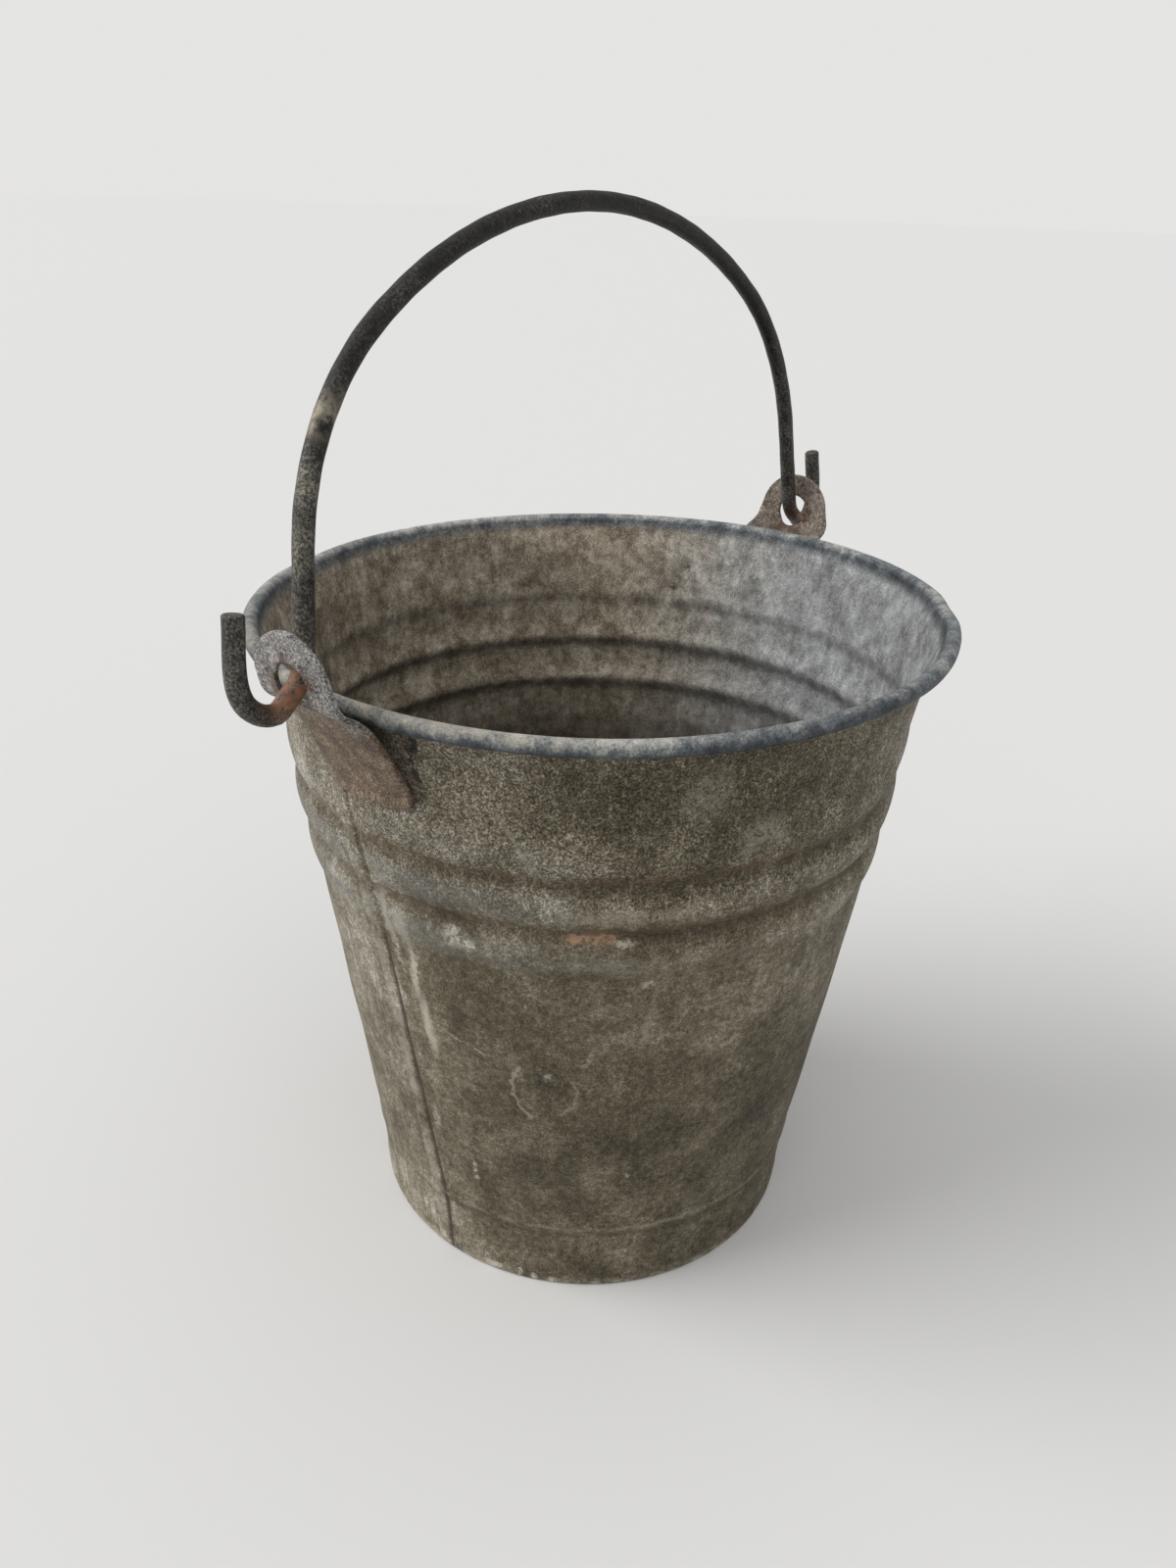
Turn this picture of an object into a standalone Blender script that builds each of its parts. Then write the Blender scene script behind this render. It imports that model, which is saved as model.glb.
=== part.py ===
"""A small galvanised steel bucket with a wire bail.

The sheet wall is rolled at the top around a wire, swaged with three bands,
creased above its foot, hemmed round the bottom and closed by one folded seam.
Two pressed ears carry a bail bent from one wire, whose hooks turn in the ears.
The origin is the centre of the foot on the floor, +Z is up, and the bail's
hinge line runs along X. All lengths are in metres and all angles in degrees.
"""

import math

import bmesh
import bpy

MM = 0.001

# Sheet and wire stock
SHEET = 0.75 * MM
RIM_WIRE_DIAMETER = 3.2 * MM
BAIL_WIRE_DIAMETER = 5.9 * MM
EAR_THICKNESS = 1.6 * MM
GAP = 0.3 * MM

# Wall, measured on its outer face
RIM_RADIUS = 120.0 * MM
RIM_HEIGHT = 238.4 * MM
WALL_TOP_RADIUS = 115.7 * MM
CREASE_RADIUS = 85.6 * MM
CREASE_HEIGHT = 30.0 * MM
CREASE_RIDGE = 0.6 * MM
CREASE_WIDTH = 2.4 * MM
FOOT_RADIUS = 83.0 * MM
FLARE_DEPTH = 18.0 * MM
FLARE_STOPS = (0.22, 0.5, 1.0)
ROLL_END_ANGLE = -125.0

# Swaged bands, counted down from the rim
FIRST_SWAGE_DEPTH = 30.5 * MM
SWAGE_PITCH = 18.3 * MM
SWAGE_HEIGHTS = (0.9 * MM, 2.1 * MM, 1.9 * MM)
GROOVE_DEPTH = 0.7 * MM
GROOVE_SPREAD = 0.25

# Hem that grips the bottom's flange
HEM_HEIGHT = 7.0 * MM
HEM_CORNER = 0.9 * MM

# Pressed bottom
BOTTOM_HEIGHT = 27.0 * MM
BOTTOM_CORNER = 3.5 * MM

# Folded side seam, just beside the left ear's centre line
SEAM_AZIMUTH = 176.4
SEAM_WIDTH = 6.0 * MM
SEAM_HEIGHT = 0.9 * MM
SEAM_BITE = 0.35 * MM
SEAM_TOP_DEPTH = 6.0 * MM

# Ears
HINGE_RADIUS = 136.5 * MM
HINGE_RISE = 9.5 * MM
EAR_LOBE_RADIUS = 14.8 * MM
EAR_HOLE_RADIUS = 6.3 * MM
EAR_LOBE_LEAN = 5.0
EAR_TAB_HALF_WIDTH = 16.4 * MM
EAR_RIM_HALF_WIDTH = 17.8 * MM
EAR_TAB_CORNER = 7.0 * MM
EAR_TAB_DROP = 30.0 * MM
EAR_TAB_SEAT = 8.0 * MM
EAR_TAB_SPRING = 0.6 * MM
EAR_BLANK_MARGIN = 2.0 * MM
LEFT_EAR_SKEW = 6.0 * MM
LEFT_EAR_SLIM = 4.5 * MM
EAR_STANDOFF = 1.2 * MM
EAR_NECK_RISE = 4.0 * MM
EAR_NECK_SETBACK = 1.8 * MM

# Bail, in its own plane from the hinge line
BAIL_RISE = 116.0 * MM
CROWN_RADIUS = 165.0 * MM
SHOULDER_RADIUS = 80.0 * MM
LEG_LEAN = 9.5
HOOK_RADIUS = 11.0 * MM
HOOK_CENTRE_OUT = 6.4 * MM
HOOK_CENTRE_UP = 7.1 * MM
HOOK_TIP_RISE = 22.0 * MM
BAIL_REST_TILT = 4.7

# How far long use has pushed the rim out of true: size and direction of each wave
OVAL_WAVE = (2.96 * MM, 2, 7.6)
THREE_CORNER_WAVE = (1.69 * MM, 3, -47.5)
RIM_LIFT_WAVE = (1.02 * MM, 2, -11.7)
OUT_OF_TRUE_POWER = 1.5

# Dents: azimuth, height, depth, half width in degrees, half height
DENTS = (
    (-52.8, 236.0 * MM, 1.1 * MM, 4.5, 16.0 * MM),
    (-71.0, 190.0 * MM, 1.4 * MM, 13.0, 45.0 * MM),
    (106.0, 232.0 * MM, 1.0 * MM, 8.0, 30.0 * MM),
)

# Facets
TURN_STEPS = 56
ROLL_STEPS = 8
SWAGE_STEPS = 4
WIRE_SIDES = 8
EAR_ROWS = 14
EAR_COLUMNS = 8
CORNER_STEP = 15.0
BAIL_STEP = 6.0
SPLINE_STEPS = 16
SMOOTH_ANGLE = 40.0
MERGE_DISTANCE = 0.01 * MM

ROLL_INNER_RADIUS = RIM_WIRE_DIAMETER / 2 + GAP
BEAD_RADIUS = ROLL_INNER_RADIUS + SHEET
HINGE_HEIGHT = RIM_HEIGHT + HINGE_RISE
HEM_SLOT = SHEET + 2 * GAP


def clear_scene():
    """Remove what the scene holds."""
    for item in list(bpy.data.objects):
        bpy.data.objects.remove(item, do_unlink=True)


def make_collection(name):
    """Return a new collection linked to the scene."""
    group = bpy.data.collections.new(name)
    bpy.context.scene.collection.children.link(group)
    return group


def make_material(name, colour, metallic, roughness):
    """Return a plain metal finish."""
    material = bpy.data.materials.new(name)
    material.use_nodes = True
    shader = material.node_tree.nodes["Principled BSDF"]
    shader.inputs["Base Color"].default_value = (*colour, 1.0)
    shader.inputs["Metallic"].default_value = metallic
    shader.inputs["Roughness"].default_value = roughness
    material.diffuse_color = (*colour, 1.0)
    return material


def cone_radius(height):
    """Return the plain taper's outer radius at a height."""
    share = (height - CREASE_HEIGHT) / (RIM_HEIGHT - CREASE_HEIGHT)
    return CREASE_RADIUS + (WALL_TOP_RADIUS - CREASE_RADIUS) * share


def flare(depth):
    """Return how far the wall opens towards the roll at a depth under the rim."""
    if depth >= FLARE_DEPTH:
        return 0.0
    reach = RIM_RADIUS - ROLL_INNER_RADIUS - WALL_TOP_RADIUS
    return reach * (1.0 - depth / FLARE_DEPTH) ** 2


def swage_offset(depth):
    """Return how far the swaged bands stand proud of the taper at a depth."""
    place = (depth - FIRST_SWAGE_DEPTH) / SWAGE_PITCH
    if place < 0.0 or place > len(SWAGE_HEIGHTS):
        return 0.0
    band = min(int(place), len(SWAGE_HEIGHTS) - 1)
    crown = SWAGE_HEIGHTS[band] * math.sin(math.pi * (place - band))
    edge = abs(place - round(place))
    inner = 0 < round(place) < len(SWAGE_HEIGHTS)
    groove = GROOVE_DEPTH * max(0.0, 1.0 - edge / GROOVE_SPREAD) if inner else 0.0
    return crown - groove


def wall_radius(height):
    """Return the wall's outer radius at a height above the crease."""
    depth = RIM_HEIGHT - height
    return cone_radius(height) + flare(depth) + swage_offset(depth)


def wave(size_count_phase, azimuth):
    """Return one wave of the out-of-true shape at an azimuth in degrees."""
    size, count, phase = size_count_phase
    return size * math.cos(math.radians(count * (azimuth - phase)))


def wear_share(height):
    """Return how much of the rim's bending reaches a height."""
    share = (height - CREASE_HEIGHT) / (RIM_HEIGHT - CREASE_HEIGHT)
    return max(0.0, share) ** OUT_OF_TRUE_POWER


def dent_offset(azimuth, height):
    """Return the inward push of the dents."""
    push = 0.0
    for centre, level, depth, half_width, half_height in DENTS:
        across = ((azimuth - centre + 180.0) % 360.0 - 180.0) / half_width
        along = (height - level) / half_height
        push += depth * math.exp(-across * across - along * along)
    return push


def out_of_true(azimuth, height):
    """Return the radial shift of the worn body at an azimuth and height."""
    waves = wave(OVAL_WAVE, azimuth) + wave(THREE_CORNER_WAVE, azimuth)
    return waves * wear_share(height) - dent_offset(azimuth, height)


def bend_out_of_true(item):
    """Push a turned piece of the body into its worn shape."""
    for vertex in item.data.vertices:
        x, y, height = vertex.co
        radius = math.hypot(x, y)
        if radius < FOOT_RADIUS / 2:
            continue
        azimuth = math.degrees(math.atan2(y, x))
        scale = 1.0 + out_of_true(azimuth, height) / radius
        vertex.co.x = x * scale
        vertex.co.y = y * scale
        vertex.co.z = height + wave(RIM_LIFT_WAVE, azimuth) * wear_share(height)


def roll_path():
    """Return the rim roll's inner face, from its free edge round to the wall."""
    points = []
    for step in range(ROLL_STEPS + 1):
        angle = math.radians(ROLL_END_ANGLE + (180.0 - ROLL_END_ANGLE) * step / ROLL_STEPS)
        points.append((
            RIM_RADIUS + ROLL_INNER_RADIUS * math.cos(angle),
            RIM_HEIGHT + ROLL_INNER_RADIUS * math.sin(angle),
        ))
    return points


def side_heights():
    """Return the heights where the wall's section turns, from the rim down."""
    depths = [FLARE_DEPTH * share for share in FLARE_STOPS]
    for step in range(len(SWAGE_HEIGHTS) * SWAGE_STEPS + 1):
        depths.append(FIRST_SWAGE_DEPTH + SWAGE_PITCH * step / SWAGE_STEPS)
    swages_end = RIM_HEIGHT - depths[-1]
    middle = (swages_end + CREASE_HEIGHT) / 2
    return [RIM_HEIGHT - depth for depth in depths] + [middle, CREASE_HEIGHT + CREASE_WIDTH]


def side_path():
    """Return the wall's outer face from under the roll to above the crease."""
    return [(wall_radius(height), height) for height in side_heights()]


def foot_path():
    """Return the outer face of the crease, foot and hem, ending at the hem's free edge."""
    inner = FOOT_RADIUS - 2 * SHEET - HEM_SLOT
    return [
        (CREASE_RADIUS + CREASE_RIDGE, CREASE_HEIGHT),
        (CREASE_RADIUS - CREASE_RIDGE / 2, CREASE_HEIGHT - CREASE_WIDTH),
        (FOOT_RADIUS, HEM_HEIGHT),
        (FOOT_RADIUS, HEM_CORNER),
        (FOOT_RADIUS - HEM_CORNER / 3, HEM_CORNER / 3),
        (FOOT_RADIUS - HEM_CORNER, 0.0),
        (inner + HEM_CORNER, 0.0),
        (inner + HEM_CORNER / 3, HEM_CORNER / 3),
        (inner, HEM_CORNER),
        (inner, HEM_HEIGHT),
    ]


def path_object(name, points, group):
    """Return an object that holds an open section in the XZ plane."""
    mesh = bpy.data.meshes.new(name)
    edges = [(index, index + 1) for index in range(len(points) - 1)]
    mesh.from_pydata([(radius, 0.0, height) for radius, height in points], edges, [])
    item = bpy.data.objects.new(name, mesh)
    group.objects.link(item)
    return item


def add_sheet(item, thickness, offset):
    """Give an open surface its thickness."""
    solid = item.modifiers.new("sheet", "SOLIDIFY")
    solid.thickness = thickness
    solid.offset = offset
    solid.use_even_offset = True
    solid.use_quality_normals = True


def turned_sheet(name, points, group):
    """Turn an open section about Z and thicken it inwards."""
    item = path_object(name, points, group)
    screw = item.modifiers.new("turn", "SCREW")
    screw.axis = "Z"
    screw.angle = math.tau
    screw.steps = TURN_STEPS
    screw.render_steps = TURN_STEPS
    screw.use_merge_vertices = True
    screw.merge_threshold = MERGE_DISTANCE
    add_sheet(item, SHEET, -1.0)
    return item


def bake(item):
    """Replace an object's data by its evaluated mesh, with joined corners."""
    graph = bpy.context.evaluated_depsgraph_get()
    graph.update()
    mesh = bpy.data.meshes.new_from_object(item.evaluated_get(graph))
    item.modifiers.clear()
    item.data = mesh
    work = bmesh.new()
    work.from_mesh(mesh)
    bmesh.ops.remove_doubles(work, verts=work.verts, dist=MERGE_DISTANCE)
    work.to_mesh(mesh)
    work.free()
    return item


def mesh_from_curve(item, group):
    """Return a mesh object with a curve object's shape, and remove the curve."""
    graph = bpy.context.evaluated_depsgraph_get()
    graph.update()
    mesh = bpy.data.meshes.new_from_object(item.evaluated_get(graph))
    work = bmesh.new()
    work.from_mesh(mesh)
    bmesh.ops.remove_doubles(work, verts=work.verts, dist=MERGE_DISTANCE)
    work.to_mesh(mesh)
    work.free()
    name = item.name
    place = item.matrix_world.copy()
    bpy.data.objects.remove(item, do_unlink=True)
    solid = bpy.data.objects.new(name, mesh)
    solid.matrix_world = place
    group.objects.link(solid)
    return solid


def cut(item, tool, operation):
    """Join, cut or trim an object with a tool, and bake the result."""
    boolean = item.modifiers.new(operation.lower(), "BOOLEAN")
    boolean.operation = operation
    boolean.solver = "EXACT"
    boolean.object = tool
    tool.hide_render = True
    tool.display_type = "WIRE"
    return bake(item)


def finish(item, material):
    """Shade a piece and give it its material."""
    item.data.materials.clear()
    item.data.materials.append(material)
    item.data.shade_smooth()
    item.data.set_sharp_from_angle(angle=math.radians(SMOOTH_ANGLE))


def strip_across(item, width):
    """Widen an open section along Y into a strip centred on the XZ plane, facing +X."""
    work = bmesh.new()
    work.from_mesh(item.data)
    made = bmesh.ops.extrude_edge_only(work, edges=work.edges[:])["geom"]
    far = [part for part in made if isinstance(part, bmesh.types.BMVert)]
    bmesh.ops.translate(work, verts=far, vec=(0.0, width, 0.0))
    bmesh.ops.translate(work, verts=work.verts, vec=(0.0, -width / 2, 0.0))
    if sum(face.normal.x for face in work.faces) < 0.0:
        bmesh.ops.reverse_faces(work, faces=work.faces)
    work.to_mesh(item.data)
    work.free()


def build_seam(cutters):
    """Return the folded seam's ridge, which bites into the wall's outer face."""
    start = (wall_radius(RIM_HEIGHT - SEAM_TOP_DEPTH), RIM_HEIGHT - SEAM_TOP_DEPTH)
    side = [point for point in side_path() if point[1] < start[1]]
    foot = foot_path()[:3]
    item = path_object("seam_ridge", [start] + side + foot, cutters)
    strip_across(item, SEAM_WIDTH)
    thickness = SEAM_HEIGHT + SEAM_BITE
    add_sheet(item, thickness, 2.0 * SEAM_HEIGHT / thickness - 1.0)
    item.rotation_euler.z = math.radians(SEAM_AZIMUTH)
    return item


def build_wall(group, cutters, material):
    """Build the rolled, swaged, seamed and hemmed sheet wall."""
    wall = turned_sheet("wall", roll_path() + side_path() + foot_path(), group)
    bake(wall)
    cut(wall, build_seam(cutters), "UNION")
    bend_out_of_true(wall)
    finish(wall, material)
    return wall


def build_rim_wire(group, material):
    """Build the wire that the rim is rolled around."""
    bpy.ops.mesh.primitive_torus_add(
        major_segments=TURN_STEPS,
        minor_segments=WIRE_SIDES,
        major_radius=RIM_RADIUS,
        minor_radius=RIM_WIRE_DIAMETER / 2,
        location=(0.0, 0.0, 0.0),
    )
    wire = bpy.context.active_object
    wire.name = "rim_wire"
    for owner in list(wire.users_collection):
        owner.objects.unlink(wire)
    group.objects.link(wire)
    for vertex in wire.data.vertices:
        vertex.co.z += RIM_HEIGHT
    bend_out_of_true(wire)
    finish(wire, material)
    return wire


def foot_outer_radius(height):
    """Return the foot band's outer radius between the hem and the crease."""
    top_radius = CREASE_RADIUS - CREASE_RIDGE / 2
    top_height = CREASE_HEIGHT - CREASE_WIDTH
    share = max(0.0, (height - HEM_HEIGHT) / (top_height - HEM_HEIGHT))
    return FOOT_RADIUS + (top_radius - FOOT_RADIUS) * share


def build_bottom(group, material):
    """Build the pressed bottom, whose flange stands in the hem."""
    inset = SHEET + GAP
    shoulder = BOTTOM_HEIGHT - BOTTOM_CORNER
    side = foot_outer_radius(shoulder) - inset
    path = [(0.0, BOTTOM_HEIGHT)]
    for angle in (90.0, 60.0, 30.0, 0.0):
        turn = math.radians(angle)
        path.append((
            side - BOTTOM_CORNER + BOTTOM_CORNER * math.cos(turn),
            shoulder + BOTTOM_CORNER * math.sin(turn),
        ))
    path.append((foot_outer_radius(HEM_HEIGHT) - inset, HEM_HEIGHT))
    path.append((FOOT_RADIUS - inset, SHEET + GAP))
    bottom = bake(turned_sheet("bottom", path, group))
    finish(bottom, material)
    return bottom


def smooth_path(points, count):
    """Return evenly spaced points on a smooth curve through the given points."""
    dense = []
    ends = [points[0]] + list(points) + [points[-1]]
    for index in range(len(points) - 1):
        before, start, stop, after = ends[index:index + 4]
        for step in range(SPLINE_STEPS):
            t = step / SPLINE_STEPS
            dense.append(tuple(
                0.5 * (2 * b + (c - a) * t + (2 * a - 5 * b + 4 * c - d) * t ** 2
                       + (3 * b - a - 3 * c + d) * t ** 3)
                for a, b, c, d in zip(before, start, stop, after)
            ))
    dense.append(points[-1])
    lengths = [0.0]
    for start, stop in zip(dense, dense[1:]):
        lengths.append(lengths[-1] + math.dist(start, stop))
    even = []
    place = 0
    for step in range(count + 1):
        goal = lengths[-1] * step / count
        while place < len(dense) - 2 and lengths[place + 1] < goal:
            place += 1
        span = lengths[place + 1] - lengths[place]
        share = (goal - lengths[place]) / span
        even.append(tuple(a + (b - a) * share for a, b in zip(dense[place], dense[place + 1])))
    return even


def ear_section(azimuth, seat):
    """Return the ear plate's middle line, from above its lobe down to its tab's end."""
    half = EAR_THICKNESS / 2
    lean = math.tan(math.radians(EAR_LOBE_LEAN))
    above = EAR_LOBE_RADIUS + EAR_BLANK_MARGIN
    foot = RIM_HEIGHT - EAR_TAB_DROP - EAR_BLANK_MARGIN
    leave = RIM_HEIGHT - EAR_TAB_DROP + EAR_TAB_SEAT
    band = EAR_TAB_SPRING + max(0.0, swage_offset(EAR_TAB_DROP))

    def on_wall(height):
        """Return the plate's middle where its tab lies on the wall, clear of the first band."""
        return cone_radius(height) + band + out_of_true(azimuth, height) + seat + half

    rim = RIM_RADIUS + out_of_true(azimuth, RIM_HEIGHT) + BEAD_RADIUS + EAR_STANDOFF + half
    return [
        (HINGE_RADIUS + above * lean, HINGE_HEIGHT + above),
        (HINGE_RADIUS, HINGE_HEIGHT),
        (HINGE_RADIUS - EAR_NECK_SETBACK, RIM_HEIGHT + EAR_NECK_RISE),
        (rim, RIM_HEIGHT - BEAD_RADIUS / 2),
        (on_wall(leave), leave),
        (on_wall(foot), foot),
    ]


def arc_points(centre, radius, start, stop, pace=CORNER_STEP):
    """Return points on an arc between two angles in degrees, both ends included."""
    count = max(2, round(abs(stop - start) / pace))
    points = []
    for step in range(count + 1):
        angle = math.radians(start + (stop - start) * step / count)
        points.append((centre[0] + radius * math.cos(angle), centre[1] + radius * math.sin(angle)))
    return points


def ear_outline(slim):
    """Return the ear's outline, as across and height, anticlockwise, slimmer on its left."""
    tab_end = RIM_HEIGHT - EAR_TAB_DROP
    corner = EAR_TAB_CORNER
    side = EAR_TAB_HALF_WIDTH
    under_rim = RIM_HEIGHT - BEAD_RADIUS
    right = arc_points((side - corner, tab_end + corner), corner, -90.0, 0.0)
    lobe = arc_points((0.0, HINGE_HEIGHT), EAR_LOBE_RADIUS, 0.0, 180.0)
    left = [(-across, height) for across, height in reversed(right)]
    flares = [(EAR_RIM_HALF_WIDTH, under_rim), (slim - EAR_RIM_HALF_WIDTH, under_rim)]
    return right + flares[:1] + lobe + flares[1:] + left


def filled_outline(name, outlines, depth, group):
    """Return a flat outline with holes, extruded both ways by half a depth."""
    curve = bpy.data.curves.new(name, "CURVE")
    curve.dimensions = "2D"
    curve.fill_mode = "BOTH"
    curve.extrude = depth / 2
    for points in outlines:
        spline = curve.splines.new("POLY")
        spline.points.add(len(points) - 1)
        for slot, (across, up) in zip(spline.points, points):
            slot.co = (across, up, 0.0, 1.0)
        spline.use_cyclic_u = True
    item = bpy.data.objects.new(name, curve)
    group.objects.link(item)
    return item


def wrap_tab(item, azimuth, skew):
    """Skew the ear's tab sideways and curve it to follow the wall below the rim."""
    top = HINGE_HEIGHT - EAR_HOLE_RADIUS
    for vertex in item.data.vertices:
        height = vertex.co.z
        slide = max(0.0, top - height) / (top - RIM_HEIGHT + EAR_TAB_DROP)
        vertex.co.y += skew * slide
        across = vertex.co.y
        level = min(height, RIM_HEIGHT)
        share = min(1.0, max(0.0, (top - height) / (top - RIM_HEIGHT + BEAD_RADIUS)))
        radius = cone_radius(level) + flare(RIM_HEIGHT - level)
        local = math.asin(across / radius)
        bent = out_of_true(azimuth + math.degrees(local), level)
        straight = out_of_true(azimuth, level)
        drop = (radius + bent - straight) * math.cos(local) - radius
        vertex.co.x += drop * share


def build_ear(name, azimuth, seat, skew, slim, group, cutters, material):
    """Build one pressed ear: tab on the wall, joggle over the rim, lobe with its hole."""
    ear = path_object(name, smooth_path(ear_section(azimuth, seat), EAR_ROWS), group)
    width = 2 * (EAR_RIM_HALF_WIDTH + EAR_BLANK_MARGIN)
    strip_across(ear, width)
    work = bmesh.new()
    work.from_mesh(ear.data)
    rungs = [edge for edge in work.edges if abs(edge.verts[0].co.y - edge.verts[1].co.y) > width / 2]
    bmesh.ops.subdivide_edges(work, edges=rungs, cuts=EAR_COLUMNS - 1, use_grid_fill=True)
    work.to_mesh(ear.data)
    work.free()
    add_sheet(ear, EAR_THICKNESS, 0.0)
    bake(ear)
    hole = arc_points((0.0, HINGE_HEIGHT), EAR_HOLE_RADIUS, 0.0, 360.0 - CORNER_STEP)
    outline = filled_outline(name + "_outline", [ear_outline(slim), hole], 2 * HINGE_RADIUS, cutters)
    outline.rotation_euler = (math.pi / 2, 0.0, math.pi / 2)
    outline.location.x = HINGE_RADIUS
    bpy.context.view_layer.update()
    cut(ear, mesh_from_curve(outline, cutters), "INTERSECT")
    wrap_tab(ear, azimuth, skew)
    ear.rotation_euler.z = math.radians(azimuth)
    finish(ear, material)
    return ear


def bail_half():
    """Return half of the bail's middle line, from its crown to its hook's tip."""
    lean = math.radians(LEG_LEAN)
    outward = (math.cos(lean), math.sin(lean))
    upward = (-math.sin(lean), math.cos(lean))
    hook = (HINGE_RADIUS + HOOK_CENTRE_OUT, HOOK_CENTRE_UP)
    leg_end = (hook[0] - HOOK_RADIUS * outward[0], hook[1] - HOOK_RADIUS * outward[1])
    crown = (0.0, BAIL_RISE - CROWN_RADIUS)
    leg_reach = (leg_end[0] - crown[0]) * outward[0] + (leg_end[1] - crown[1]) * outward[1]
    side = leg_reach - SHOULDER_RADIUS
    rise = math.sqrt((CROWN_RADIUS - SHOULDER_RADIUS) ** 2 - side ** 2)
    shoulder = tuple(crown[i] + side * outward[i] + rise * upward[i] for i in range(2))
    turn = math.degrees(math.atan2(shoulder[1] - crown[1], shoulder[0] - crown[0]))
    points = arc_points(crown, CROWN_RADIUS, 90.0, turn, BAIL_STEP)[:-1]
    points += arc_points(shoulder, SHOULDER_RADIUS, turn, LEG_LEAN, BAIL_STEP)
    points += arc_points(hook, HOOK_RADIUS, 180.0 + LEG_LEAN, 360.0 + LEG_LEAN)
    hook_end = points[-1]
    tip = (HOOK_TIP_RISE - hook_end[1]) / upward[1]
    points.append(tuple(hook_end[i] + tip * upward[i] for i in range(2)))
    return points


def build_bail(group, material):
    """Build the bail, bent from one wire, with its origin on the hinge line."""
    half = bail_half()
    line = [(-across, up) for across, up in reversed(half[1:])] + half
    curve = bpy.data.curves.new("bail", "CURVE")
    curve.dimensions = "3D"
    curve.bevel_depth = BAIL_WIRE_DIAMETER / 2
    curve.bevel_resolution = 2
    curve.use_fill_caps = True
    spline = curve.splines.new("POLY")
    spline.points.add(len(line) - 1)
    for slot, (across, up) in zip(spline.points, line):
        slot.co = (across, 0.0, up, 1.0)
    item = bpy.data.objects.new("bail", curve)
    group.objects.link(item)
    item.location = (0.0, 0.0, HINGE_HEIGHT)
    item.rotation_euler.x = -math.radians(BAIL_REST_TILT)
    bpy.context.view_layer.update()
    bail = mesh_from_curve(item, group)
    bail.name = "bail"
    finish(bail, material)
    return bail


def main():
    """Build the bucket."""
    clear_scene()
    bucket = make_collection("bucket")
    cutters = make_collection("cutters")
    zinc = make_material("aged_zinc_wall", (0.30, 0.29, 0.27), 0.6, 0.62)
    zinc_bottom = make_material("aged_zinc_bottom", (0.26, 0.24, 0.21), 0.6, 0.68)
    rim = make_material("rim_wire_steel", (0.22, 0.22, 0.22), 0.8, 0.5)
    left_zinc = make_material("ear_left_zinc", (0.24, 0.19, 0.15), 0.6, 0.6)
    right_zinc = make_material("ear_right_zinc", (0.25, 0.23, 0.21), 0.6, 0.6)
    black = make_material("bail_steel", (0.06, 0.06, 0.06), 0.7, 0.55)
    build_wall(bucket, cutters, zinc)
    build_rim_wire(bucket, rim)
    build_bottom(bucket, zinc_bottom)
    left_seat = SEAM_HEIGHT + GAP
    build_ear("ear_left", 180.0, left_seat, LEFT_EAR_SKEW, LEFT_EAR_SLIM, bucket, cutters, left_zinc)
    build_ear("ear_right", 0.0, GAP, 0.0, 0.0, bucket, cutters, right_zinc)
    build_bail(bucket, black)


main()
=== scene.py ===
"""The looks of a small weathered zinc-coated bucket with a blackened wire bail.

Lengths are in metres and angles in degrees, unless a name says otherwise. The bucket
stands on Z = 0, its bail hinges along X, and its seam and left ear face -X. A bearing
is an angle about Z from the left ear, growing towards the front.
"""

import logging
import math
from dataclasses import dataclass
from enum import Enum
from typing import Callable, Sequence

import bmesh
import bpy
import numpy as np
from mathutils import Matrix, Vector


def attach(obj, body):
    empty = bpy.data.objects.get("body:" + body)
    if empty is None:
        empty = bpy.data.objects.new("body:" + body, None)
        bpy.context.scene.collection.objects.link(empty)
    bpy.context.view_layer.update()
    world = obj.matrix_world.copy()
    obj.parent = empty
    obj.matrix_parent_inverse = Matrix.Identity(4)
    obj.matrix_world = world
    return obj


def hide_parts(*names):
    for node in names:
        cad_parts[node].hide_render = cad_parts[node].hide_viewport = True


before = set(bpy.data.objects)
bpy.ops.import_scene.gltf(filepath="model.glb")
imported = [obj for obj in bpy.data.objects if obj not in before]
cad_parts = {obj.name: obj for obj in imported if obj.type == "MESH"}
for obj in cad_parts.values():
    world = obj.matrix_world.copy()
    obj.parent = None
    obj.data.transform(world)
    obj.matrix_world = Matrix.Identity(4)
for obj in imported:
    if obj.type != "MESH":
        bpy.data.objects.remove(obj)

MM = 0.001
SHEET_SPAN = 0.1

Colour = tuple[float, float, float]
Socket = bpy.types.NodeSocket
Input = Socket | float | tuple
Point = tuple[float, float]

log = logging.getLogger("bucket")


def srgb(red: int, green: int, blue: int) -> Colour:
    """Return the linear colour of three screen values.

    Args:
        red: The red value, 0 to 255.
        green: The green value, 0 to 255.
        blue: The blue value, 0 to 255.

    Returns:
        The linear colour.
    """
    shares = [value / 255.0 for value in (red, green, blue)]
    return tuple(s / 12.92 if s <= 0.04045 else ((s + 0.055) / 1.055) ** 2.4 for s in shares)


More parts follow.
